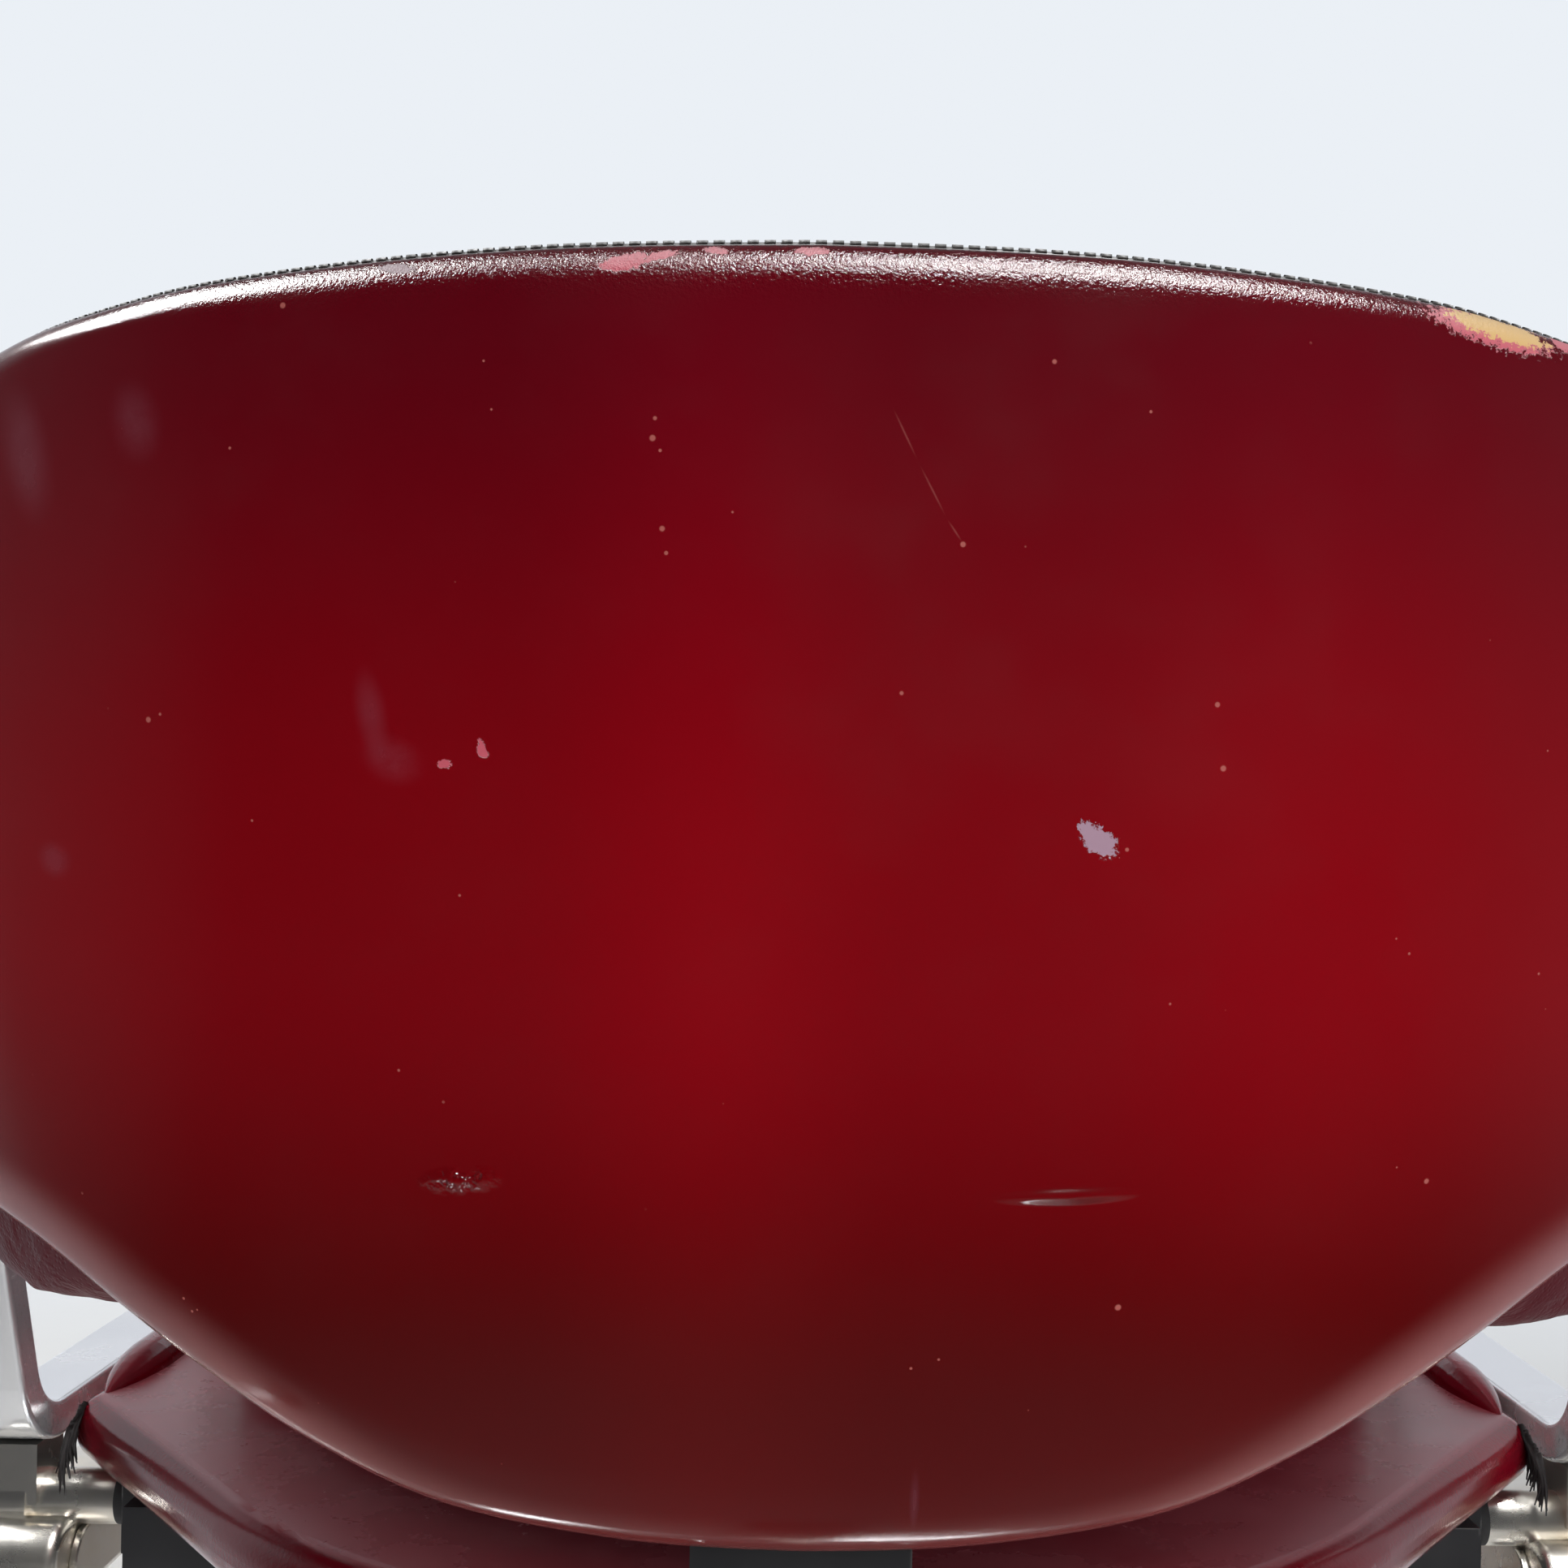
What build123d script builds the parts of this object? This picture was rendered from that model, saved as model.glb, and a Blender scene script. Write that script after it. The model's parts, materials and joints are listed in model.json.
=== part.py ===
"""Hydraulic barber chair: pump base, lifting ram, swivelling seat, linked backrest and leg rest.

Millimetres. +Z is up, the front of the chair faces -Y, and the origin is the middle of the floor face,
on the axis of the ram. The ram is down, the backrest is upright and the leg rest hangs.
"""
import os
from math import asin, cos, radians, sin, tan

from build123d import *

os.makedirs("parts", exist_ok=True)

# ---------------------------------------------------------------- driving sizes
# Floor base
BASE_R = 310.0            # outer radius of the round base
BASE_EDGE = 20.0          # height of the base at its rim
BASE_CROWN = 50.0         # height of the base where the pump flange sits
BASE_LIFT = 4.0           # underside of the base over the floor
FLOOR_RING_W = 14.0       # width of the rubber ring that stands on the floor
FLOOR_RING_INSET = 6.0    # the ring's distance inside the rim

# Hydraulic pump
BOLT_R = 4.0              # pump and frame bolts
BOLT_HEAD_R = 7.0
BOLT_DEPTH = 20.0
HOUSING_R = 58.0
HOUSING_WALL = 5.0
HOUSING_BOTTOM = 12.0     # underside of the housing over the floor
HOUSING_TOP = 226.0
FLANGE_R = 90.0
FLANGE_T = 10.0
FLANGE_BOLTS = 6
FLANGE_BOLT_PCD = 150.0
CYLINDER_BORE_R = 34.0
CYLINDER_WALL = 6.0
RAM_R = 24.0
PISTON_H = 34.0
LIFT = 150.0              # stroke of the ram
GLAND_T = 14.0
GLAND_BUSH_WALL = 4.0
COLLAR_R = 42.0           # collar at the head of the ram
COLLAR_T = 10.0
COLLAR_Z = 298.0          # underside of the collar with the ram down
SPINDLE_R = 18.0
THRUST_T = 5.0
SKIRT_WALL = 2.5
SKIRT_BOTTOM = 78.0
SKIRT_GAP = 2.0
NUT_T = 9.0
SEAL_IN_R = 29.0
SEAL_W = 6.0
PLUG_R = 6.0              # oil filler plug

# Foot pump
BLOCK_W = 50.0
BLOCK_Y0 = 68.0
BLOCK_Y1 = 122.0
BLOCK_TOP = 108.0
PEDAL_PIVOT_Y = 76.0
PEDAL_PIVOT_Z = 132.0
PEDAL_PIN_R = 6.0
PLUNGER_Y = 102.0
PLUNGER_R = 9.0
PLUNGER_HEAD_R = 13.0
PLUNGER_STROKE = 8.5
PEDAL_REACH = 385.0       # from the ram's axis to the end of the pedal
PEDAL_PAD = (84.0, 96.0, 12.0)
NOSE_R = 6.0              # rounded nose of the pedal that presses the plunger
NOSE_DROP = 14.0          # middle of the nose under the pedal's pivot
NOSE_GAP = 0.5
BARREL_WALL = 4.0
EAR_T = 9.0
PEDAL_T = 9.0
PEDAL_NECK = 26.0
NECK_START = 30.0         # from the plunger to where the lever narrows, and to where it is narrow
NECK_END = 80.0
NECK_FLARE = 20.0         # from the pad back to the end of the narrow stretch
RIB_H = 8.0               # rib under the pedal's neck
RIB_START = 8.0           # from the pump block to the rib, so that the pressed pedal clears the block

# Seat
DECK_Z = 455.0            # top face of the seat shell
SEAT_HALF_W = 270.0
SEAT_FRONT_Y = -270.0
SEAT_CORNER_Y = 58.0      # where the straight sides meet the rear edges
SEAT_FLARE = 37.0         # rear edges, degrees from the chair's length
SEAT_REAR_R = 227.5       # rounding where the rear edges meet
SEAT_FRONT_CORNER_R = 70.0
SEAT_CORNER_R = 12.0
POCKET_CORNER_R = 4.0     # rear corners of the hollow under the deck
RIM_T = 24.0              # depth of the rolled edge
RIM_W = 15.0
DECK_WALL = 5.0
ROLL_R = 10.0             # raised roll along each side of the deck
ROLL_RISE = 9.0
CUSHION_HALF_W = 230.0
CUSHION_FRONT_Y = -282.0
CUSHION_CORNER_Y = 30.0   # where the cushion's sides meet its rear edges
CUSHION_REAR_R = 216.0
CUSHION_TURN = 40.0       # rounding of its upright corners
CUSHION_T = 64.0
CUSHION_CROWN_R = 2800.0
CUSHION_DRAW = 6.0        # how far the pads' sides are drawn in at their middle

# Arms
BAR_W = 28.0              # width of the flat bar across the chair
BAR_T = 14.0
BAR_GAP = 3.0             # seat edge to bar
BAR_BEND = 32.0           # bend radius on the bar's middle line
ARM_REAR_Y = 82.0         # middle line of the bar, lower rear corner
ARM_FRONT_Y = -215.0
ARM_RISE = 224.0          # lower to upper run
ARM_LEAN = 19.0           # backward lean of both struts, degrees
PAD_W = 48.0
PAD_T = 22.0

# Side castings
BOSS_Z = 419.0
BOSS_R = 10.0
BOSS_COLLAR_R = 13.0
BOSS_INNER_X = 251.0
COLLAR_X = 282.0
BOSS_OUTER_X = 301.0
BOSS_YS = (60.0, -160.0)
BEAM_X0 = 266.0
BEAM_X1 = 300.0
BEAM_Z0 = 380.0
BEAM_Z1 = 414.0
BEAM_OVERHANG = 26.0      # beam past each boss
DISC_R = 12.0
DISC_T = 3.0
SCREW_R = 3.0             # screws up through the casting into the arm
SCREW_STEP = -7.5         # the screws stand this far in front of the bosses

# Seat frame and yoke
FRAME_SIDE_X = 241.0
RAIL_T = 12.0
RAIL_X = 66.0             # inner rails
RAIL_BOTTOM = 402.0
YOKE_WAIST_X = 150.0        # the yoke's wings narrow here, and widen again to their ends
YOKE_WAIST_Y = 78.0
YOKE_END_Y = 92.0
YOKE_T = 16.0
HUB_R = 44.0
HUB_H = 74.0
BUSH_WALL = 3.0
FLANGE_HX = 100.0         # half length of the yoke's top flange
FLANGE_HY = 92.0
YOKE_BOLT_Y = 70.0
CROSS_W = 34.0            # width of the frame's cross members
FRAME_FRONT_Y = -224.0
BOLT_GRIP = 10.0          # how far the yoke's bolts reach into the frame
LUG_T = 6.0
LUG_R = 14.0
STUD_LUG_X = 160.0
BRAKE_GAP = 2.0
NOTCH_HALF = 33.0         # notch in the rear rim for the back bar
NOTCH_DEPTH = 15.0

# Backrest
LEAN = 8.0                # backrest lean at rest, degrees
TONGUE_Y = 279.0          # lowest point of the shell, outer face
TONGUE_Z = 476.0
SHELL_H = 324.0
SHELL_R = 380.0           # radius of the shell round the sitter
SHELL_BULGE = 14.0        # how far its middle stands out over top and bottom
SHELL_T = 9.0
LOWER_SWEEP = ((0.36, 6.5), (0.62, 34.0), (0.8, 57.0), (0.93, 69.0))    # share of WING_X, height up the lean
WING_TIP = ((3.0, 82.0), (0.0, 110.0))                                  # in from WING_X, height up the lean
SHOULDER = ((0.0, 124.0), (12.0, 52.0), (50.2, 17.0), (118.8, 5.5))     # in from WING_X, down from SHELL_H
WING_X = 264.0            # half width of the shell
PLATE_V = 114.0           # middle of the shell's carrier plate, along the lean
PLATE_H = 44.0
PLATE_T = 6.0
PLATE_HALF_W = 98.0
PLATE_BOLT_X = 80.0
PLATE_BOLT_R = 3.0
PLATE_HEAD_R = 6.0
PLATE_HEAD_T = 3.5
SPOT_FACE = 0.5
BACK_BAR_W = 58.0
BACK_BAR_T = 12.0
BACK_HUB = 54.0           # half length of the back bar's hub
BACK_PAD_T = 60.0
BACK_PAD_HALF_W = 252.0
BACK_PAD_BOTTOM = 38.0    # along the lean, over the shell's lowest point
BACK_PAD_TOP = 312.0

# Recline linkage
PIVOT_Y = 180.0
PIVOT_Z = 410.0
SHAFT_R = 9.0
CRANK = 60.0              # length of the cranks that drive the leg rest
LEG_PIVOT_Y = -258.0
LINK_PIN_R = 6.0
LINK_T = 8.0
LINK_X = 92.0             # middle of each link
CRANK_X = 81.0
CRANK_T = 10.0
SECTOR_X = 115.0
SECTOR_T = 6.0
CRANK_R = 12.0            # half width of each crank
LINK_R = 11.0             # half width of each link
PIN_END = 1.5             # crank pin past the link
SLOT_R = 55.0             # radius of the brake slot
SECTOR_RIM = 13.0         # plate outside the middle of the slot
SECTOR_END = 13.0         # plate past each end of the slot, degrees
STUD_R = 6.0
STUD_ANGLE = 60.0         # below the line to the front, degrees
RECLINE = 45.0            # full travel of the backrest, degrees
LEVER_X = 286.0
LEVER_LENGTH = 112.0

# Leg rest
LEG_LEAN = 10.0           # forward lean of the hanging leg rest, degrees
LEG_W = 340.0
LEG_PAD_T = 42.0
LEG_PAD_TOP = 34.0        # from the hinge, along the leg
LEG_PAD_BOTTOM = 196.0
LEG_BAR_X = 120.0
LEG_BAR_W = 20.0
LEG_BAR_T = 12.0
LEG_BEND = 36.0
LEG_CROSS = (104.0, 166.0)  # cross members, along the leg
LEG_BOARD_TOP = 46.0
LEG_BOARD_BOTTOM = 182.0
LEG_BOARD_T = 8.0
LEG_CROWN_R = 1400.0
FOOT_HINGE = 232.0        # along the leg, from its hinge to the foot plate's
FOOT_REACH = 78.0         # the foot plate's hinge in front of the leg bars
FOOT_PIN_R = 6.0
KNUCKLE_W = 44.0
TREAD_T = 5.0
FOOT_DEPTH = 130.0
FOOT_W = 300.0
FOOT_T = 8.0

# Fits
RUN = 0.05                # radial running clearance of shafts and pins
SLIP = 0.02               # radial clearance of pressed or screwed pieces
SEATED = 0.3              # gap under soft and curved pieces that rest on others
OPEN_PIVOT = 0.5          # radial clearance of the links' front holes


def write(part, name):
    part.part.label = name
    export_step(part.part, f"parts/{name}.step")


def box(x0, x1, y0, y1, z0, z1, mode=Mode.ADD):
    """A block between two corners, placed in the part being built."""
    with Locations(((x0 + x1) / 2, (y0 + y1) / 2, (z0 + z1) / 2)):
        return Box(abs(x1 - x0), abs(y1 - y0), abs(z1 - z0), mode=mode)


def rod_x(x0, x1, y, z, r, mode=Mode.ADD):
    """A round bar along X."""
    with Locations(Location(((x0 + x1) / 2, y, z), (0, 90, 0))):
        return Cylinder(r, abs(x1 - x0), mode=mode)


def rod_z(x, y, z0, z1, r, mode=Mode.ADD):
    """A round bar along Z."""
    with Locations((x, y, (z0 + z1) / 2)):
        return Cylinder(r, z1 - z0, mode=mode)


def tube_z(r_out, r_in, z0, z1, y=0.0):
    rod_z(0, y, z0, z1, r_out)
    rod_z(0, y, z0, z1, r_in, mode=Mode.SUBTRACT)


# ---------------------------------------------------------------- floor base
ring_out = BASE_R - FLOOR_RING_INSET
ring_in = ring_out - FLOOR_RING_W
housing_fit = HOUSING_R + SLIP

with BuildPart() as base_plate:
    with BuildSketch(Plane.XZ):
        with BuildLine():
            low = Line((housing_fit, BASE_LIFT), (BASE_R - 4, BASE_LIFT))
            edge = ThreePointArc(low @ 1, (BASE_R, BASE_LIFT + 9), (BASE_R - 5, BASE_EDGE))
            dish = Spline(edge @ 1, (BASE_R - 60, BASE_EDGE + 8), (FLANGE_R + 34, BASE_CROWN - 12),
                          (FLANGE_R + 8, BASE_CROWN))
            top = Line(dish @ 1, (housing_fit, BASE_CROWN))
            Line(top @ 1, low @ 0)
        make_face()
    revolve(axis=Axis.Z)
    groove_top = BASE_LIFT + 5
    with BuildSketch(Plane.XY.offset(BASE_LIFT)):
        Circle(ring_out + SLIP)
        Circle(ring_in - SLIP, mode=Mode.SUBTRACT)
    extrude(amount=groove_top - BASE_LIFT, mode=Mode.SUBTRACT)
    with PolarLocations(FLANGE_BOLT_PCD / 2, FLANGE_BOLTS):
        with Locations((0, 0, BASE_CROWN - BOLT_DEPTH / 2)):
            Cylinder(BOLT_R + SLIP, BOLT_DEPTH, mode=Mode.SUBTRACT)
write(base_plate, "base_plate")

with BuildPart() as floor_ring:
    tube_z(ring_out, ring_in, 0, groove_top - SLIP)
    fillet(floor_ring.edges().group_by(Axis.Z)[0], radius=1.5)
write(floor_ring, "floor_ring")

# ---------------------------------------------------------------- hydraulic pump
flange_z = BASE_CROWN + FLANGE_T
housing_in = HOUSING_R - HOUSING_WALL
floor_top = HOUSING_BOTTOM + FLANGE_T
cylinder_r = CYLINDER_BORE_R + CYLINDER_WALL
gland_z = HOUSING_TOP - GLAND_T

with BuildPart() as pump_housing:
    rod_z(0, 0, HOUSING_BOTTOM, HOUSING_TOP, HOUSING_R)
    rod_z(0, 0, BASE_CROWN, flange_z, FLANGE_R)
    box(-BLOCK_W / 2 - 4, BLOCK_W / 2 + 4, 0, BLOCK_Y1 + 4, BASE_CROWN, flange_z)
    fillet(pump_housing.edges().filter_by(Axis.Z).group_by(Axis.Y)[-1], radius=12)
    rod_z(0, 0, floor_top, HOUSING_TOP + 1, housing_in, mode=Mode.SUBTRACT)
    with PolarLocations(FLANGE_BOLT_PCD / 2, FLANGE_BOLTS):
        with Locations((0, 0, BASE_CROWN + FLANGE_T / 2)):
            Cylinder(BOLT_R + SLIP, FLANGE_T + 2, mode=Mode.SUBTRACT)
write(pump_housing, "pump_housing")

with BuildPart() as pump_cylinder:
    tube_z(cylinder_r, CYLINDER_BORE_R, floor_top, gland_z)
    for angle in (0, 90, 180, 270):
        with Locations(Location((0, 0, floor_top + 8), (0, 0, angle))):
            with Locations(Location((cylinder_r, 0, 0), (0, 90, 0))):
                Cylinder(2.5, CYLINDER_WALL * 3, mode=Mode.SUBTRACT)
write(pump_cylinder, "pump_cylinder")

with BuildPart() as flange_bolts:
    with PolarLocations(FLANGE_BOLT_PCD / 2, FLANGE_BOLTS):
        with Locations((0, 0, flange_z - (BOLT_DEPTH + FLANGE_T) / 2)):
            Cylinder(BOLT_R, BOLT_DEPTH + FLANGE_T)
        with Locations((0, 0, flange_z)):
            Cylinder(BOLT_HEAD_R, BOLT_R * 1.3, align=(Align.CENTER, Align.CENTER, Align.MIN))
        with BuildSketch(Plane.XY.offset(flange_z + BOLT_R * 0.6)) as socket:
            RegularPolygon(BOLT_R * 0.7, 6)
        extrude(amount=BOLT_R, mode=Mode.SUBTRACT)
write(flange_bolts, "flange_bolts")

with BuildPart() as gland:
    tube_z(housing_in - SLIP, RAM_R + GLAND_BUSH_WALL + SLIP, gland_z, HOUSING_TOP)
    tube_z(HOUSING_R, RAM_R + GLAND_BUSH_WALL + SLIP, HOUSING_TOP, HOUSING_TOP + 4)
    fillet(gland.edges().group_by(Axis.Z)[-1].sort_by(SortBy.RADIUS)[-1], radius=1.5)
write(gland, "gland")

with BuildPart() as guide_bush:
    tube_z(RAM_R + GLAND_BUSH_WALL, RAM_R + RUN, gland_z, HOUSING_TOP + 4)
write(guide_bush, "guide_bush")

with BuildPart() as wiper_seal:
    with BuildSketch(Plane.XZ):
        with BuildLine():
            Polyline((RAM_R + RUN, HOUSING_TOP + 10), (RAM_R + 3, HOUSING_TOP + 10),
                     (RAM_R + 9, HOUSING_TOP + 4), (RAM_R + RUN, HOUSING_TOP + 4), close=True)
        make_face()
    revolve(axis=Axis.Z)
write(wiper_seal, "wiper_seal")

with BuildPart() as fill_plug:
    with Locations((0, -FLANGE_BOLT_PCD / 2, flange_z)):
        Cylinder(PLUG_R, PLUG_R, align=(Align.CENTER, Align.CENTER, Align.MIN))
    with BuildSketch(Plane.XY.offset(flange_z + PLUG_R)):
        with Locations((0, -FLANGE_BOLT_PCD / 2)):
            RegularPolygon(PLUG_R - 1, 6)
    extrude(amount=4)
write(fill_plug, "fill_plug")

# ---------------------------------------------------------------- foot pump
hub_z = COLLAR_Z + COLLAR_T + THRUST_T
yoke_z = RAIL_BOTTOM - YOKE_T
bush_r = SPINDLE_R + BUSH_WALL
skirt_r = HOUSING_R + SKIRT_GAP + SKIRT_WALL
stud_y = PIVOT_Y - SLOT_R * cos(radians(STUD_ANGLE))
stud_z = PIVOT_Z - SLOT_R * sin(radians(STUD_ANGLE))
nose_z = PEDAL_PIVOT_Z - NOSE_DROP
plunger_top = nose_z - NOSE_R - NOSE_GAP
barrel_top = plunger_top - 5 - PLUNGER_STROKE - 1

with BuildPart() as pump_block:
    box(-BLOCK_W / 2, BLOCK_W / 2, BLOCK_Y0, BLOCK_Y1, flange_z, BLOCK_TOP)
    fillet(pump_block.edges().filter_by(Axis.Z), radius=8)
    for side in (-1, 1):
        ear = side * (BLOCK_W / 2 - EAR_T / 2)
        box(ear - EAR_T / 2, ear + EAR_T / 2, BLOCK_Y0 + 1, PEDAL_PIVOT_Y + 8, BLOCK_TOP - 12, PEDAL_PIVOT_Z)
        rod_x(ear - EAR_T / 2, ear + EAR_T / 2, PEDAL_PIVOT_Y + 0.5, PEDAL_PIVOT_Z, 7.5 + EAR_T / 4)
    rod_x(-BLOCK_W, BLOCK_W, PEDAL_PIVOT_Y, PEDAL_PIVOT_Z, PEDAL_PIN_R + RUN, mode=Mode.SUBTRACT)
    rod_z(0, PLUNGER_Y, flange_z + 8, BLOCK_TOP + 20, PLUNGER_R + BARREL_WALL + SLIP, mode=Mode.SUBTRACT)
    rod_z(0, PLUNGER_Y, BLOCK_TOP - 12, BLOCK_TOP + 40, PLUNGER_HEAD_R + 3, mode=Mode.SUBTRACT)
write(pump_block, "pump_block")

with BuildPart() as pump_barrel:
    tube_z(PLUNGER_R + BARREL_WALL, PLUNGER_R + RUN, flange_z + 8, barrel_top, PLUNGER_Y)
write(pump_barrel, "pump_barrel")

with BuildPart() as pump_plunger:
    rod_z(0, PLUNGER_Y, flange_z + 8 + PLUNGER_STROKE + 3, plunger_top - 5, PLUNGER_R)
    rod_z(0, PLUNGER_Y, plunger_top - 5, plunger_top, PLUNGER_HEAD_R)
    fillet(pump_plunger.edges().group_by(Axis.Z)[-1], radius=1.5)
write(pump_plunger, "pump_plunger")

with BuildPart() as pedal_pin:
    rod_x(-BLOCK_W / 2 - 4, BLOCK_W / 2 + 4, PEDAL_PIVOT_Y, PEDAL_PIVOT_Z, PEDAL_PIN_R)
    chamfer(pedal_pin.edges().filter_by(GeomType.CIRCLE), length=1)
write(pedal_pin, "pedal_pin")

pedal_hub = BLOCK_W / 2 - EAR_T - SEATED
pad_w, pad_d, pad_t = PEDAL_PAD
with BuildPart() as pedal_lever:
    rod_x(-pedal_hub, pedal_hub, PEDAL_PIVOT_Y, PEDAL_PIVOT_Z, PEDAL_PIN_R + 5)
    with BuildSketch(Plane.XY.offset(PEDAL_PIVOT_Z - PEDAL_T / 2)):
        with BuildLine():
            Polyline((0, PEDAL_PIVOT_Y), (pedal_hub, PEDAL_PIVOT_Y), (pedal_hub, PLUNGER_Y + NECK_START),
                     (PEDAL_NECK / 2, PLUNGER_Y + NECK_END),
                     (PEDAL_NECK / 2, PEDAL_REACH - pad_d - NECK_FLARE),
                     (pad_w / 2, PEDAL_REACH - pad_d), (pad_w / 2, PEDAL_REACH), (0, PEDAL_REACH))
            mirror(about=Plane.YZ)
        make_face()
    extrude(amount=PEDAL_T)
    fillet(pedal_lever.edges().filter_by(Axis.Z).group_by(Axis.Y)[-1], radius=16)
    rod_x(-10, 10, PLUNGER_Y, nose_z, NOSE_R)
    box(-10, 10, PLUNGER_Y - NOSE_R, PLUNGER_Y + NOSE_R, nose_z, PEDAL_PIVOT_Z)
    box(-5, 5, BLOCK_Y1 + RIB_START, PEDAL_REACH - pad_d, PEDAL_PIVOT_Z - PEDAL_T / 2 - RIB_H, PEDAL_PIVOT_Z)
    rod_x(-BLOCK_W, BLOCK_W, PEDAL_PIVOT_Y, PEDAL_PIVOT_Z, PEDAL_PIN_R + RUN, mode=Mode.SUBTRACT)
write(pedal_lever, "pedal_lever")

with BuildPart() as pedal_pad:
    pad_y = PEDAL_REACH - pad_d / 2
    pad_z = PEDAL_PIVOT_Z + PEDAL_T / 2
    with Locations((0, pad_y, pad_z + pad_t / 2)):
        Box(pad_w + 4, pad_d + 4, pad_t)
    fillet(pedal_pad.edges().filter_by(Axis.Z), radius=17)
    fillet(pedal_pad.edges().group_by(Axis.Z)[-1], radius=3)
    with Locations((0, pad_y, pad_z + pad_t)):
        with GridLocations(1, 12, 1, 7):
            Box(pad_w - 18, 4, 4, mode=Mode.SUBTRACT)
write(pedal_pad, "pedal_pad")

# ---------------------------------------------------------------- lifting ram
piston_z = floor_top + 4
groove_z = piston_z + (PISTON_H - SEAL_W) / 2
spindle_top = COLLAR_Z + COLLAR_T + THRUST_T + HUB_H + NUT_T + 3

with BuildPart() as ram_rod:
    rod_z(0, 0, piston_z, COLLAR_Z, RAM_R)
    rod_z(0, 0, COLLAR_Z, COLLAR_Z + COLLAR_T, COLLAR_R)
    fillet(ram_rod.edges().filter_by(GeomType.CIRCLE).group_by(SortBy.RADIUS)[-1], radius=1.5)
    rod_z(0, 0, COLLAR_Z + COLLAR_T, spindle_top, SPINDLE_R)
    chamfer(ram_rod.edges().group_by(Axis.Z)[-1], length=1.5)
write(ram_rod, "ram_rod")

with BuildPart() as piston:
    tube_z(CYLINDER_BORE_R - RUN, RAM_R + SLIP, piston_z, piston_z + PISTON_H)
    with BuildSketch(Plane.XY.offset(groove_z)):
        Circle(CYLINDER_BORE_R + 2)
        Circle(SEAL_IN_R, mode=Mode.SUBTRACT)
    extrude(amount=SEAL_W, mode=Mode.SUBTRACT)
write(piston, "piston")

with BuildPart() as piston_seal:
    tube_z(CYLINDER_BORE_R - RUN, SEAL_IN_R + SLIP, groove_z + SLIP, groove_z + SEAL_W - SLIP)
write(piston_seal, "piston_seal")

with BuildPart() as ram_skirt:
    rod_z(0, 0, SKIRT_BOTTOM, COLLAR_Z - SLIP, skirt_r)
    fillet(ram_skirt.edges().group_by(Axis.Z)[-1], radius=8)
    rod_z(0, 0, SKIRT_BOTTOM - 1, COLLAR_Z - 3, skirt_r - SKIRT_WALL, mode=Mode.SUBTRACT)
    rod_z(0, 0, SKIRT_BOTTOM, COLLAR_Z + 1, RAM_R + SLIP, mode=Mode.SUBTRACT)
write(ram_skirt, "ram_skirt")

with BuildPart() as spindle_nut:
    nut_z = COLLAR_Z + COLLAR_T + THRUST_T + HUB_H + SEATED
    with BuildSketch(Plane.XY.offset(nut_z)):
        RegularPolygon(SPINDLE_R + 9, 6)
        Circle(SPINDLE_R + SLIP, mode=Mode.SUBTRACT)
    extrude(amount=NUT_T)
write(spindle_nut, "spindle_nut")

with BuildPart() as thrust_bearing:
    tube_z(COLLAR_R - 2, SPINDLE_R + RUN, COLLAR_Z + COLLAR_T, hub_z - RUN)
write(thrust_bearing, "thrust_bearing")

# ---------------------------------------------------------------- swivelling yoke
with BuildPart() as yoke:
    rod_z(0, 0, hub_z, RAIL_BOTTOM, HUB_R)
    fillet(yoke.edges().group_by(Axis.Z)[0], radius=4)
    box(-FLANGE_HX, FLANGE_HX, -FLANGE_HY, FLANGE_HY, yoke_z, RAIL_BOTTOM)
    with BuildSketch(Plane.XY.offset(yoke_z)):
        with BuildLine():
            right = Spline((FLANGE_HX - 20, -FLANGE_HY + 4), (YOKE_WAIST_X, -YOKE_WAIST_Y),
                           (BEAM_X0 - SLIP, -YOKE_END_Y))
            tip = Line(right @ 1, (BEAM_X0 - SLIP, -8))
            back = Spline(tip @ 1, (YOKE_WAIST_X, -4), (FLANGE_HX - 20, FLANGE_HY - 4))
            Line(back @ 1, right @ 0)
        make_face()
        mirror(about=Plane.YZ)
    extrude(amount=YOKE_T)
    rod_z(0, 0, hub_z + HUB_H, RAIL_BOTTOM + 1, SPINDLE_R + 14, mode=Mode.SUBTRACT)
    rod_z(0, 0, hub_z - 1, RAIL_BOTTOM, bush_r + SLIP, mode=Mode.SUBTRACT)
    with Locations((0, 0, yoke_z)):
        with GridLocations(2 * RAIL_X, 2 * YOKE_BOLT_Y, 2, 2):
            Cylinder(BOLT_R + SLIP, 4 * YOKE_T, mode=Mode.SUBTRACT)
write(yoke, "yoke")

with BuildPart() as swivel_bush:
    tube_z(bush_r, SPINDLE_R + RUN, hub_z + 0.5, hub_z + HUB_H - 0.5)
write(swivel_bush, "swivel_bush")

with BuildPart() as yoke_bolts:
    with GridLocations(2 * RAIL_X, 2 * YOKE_BOLT_Y, 2, 2):
        with Locations((0, 0, yoke_z)):
            Cylinder(BOLT_R, YOKE_T + BOLT_GRIP, align=(Align.CENTER, Align.CENTER, Align.MIN))
            Cylinder(BOLT_HEAD_R, 5, align=(Align.CENTER, Align.CENTER, Align.MAX))
write(yoke_bolts, "yoke_bolts")

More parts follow.
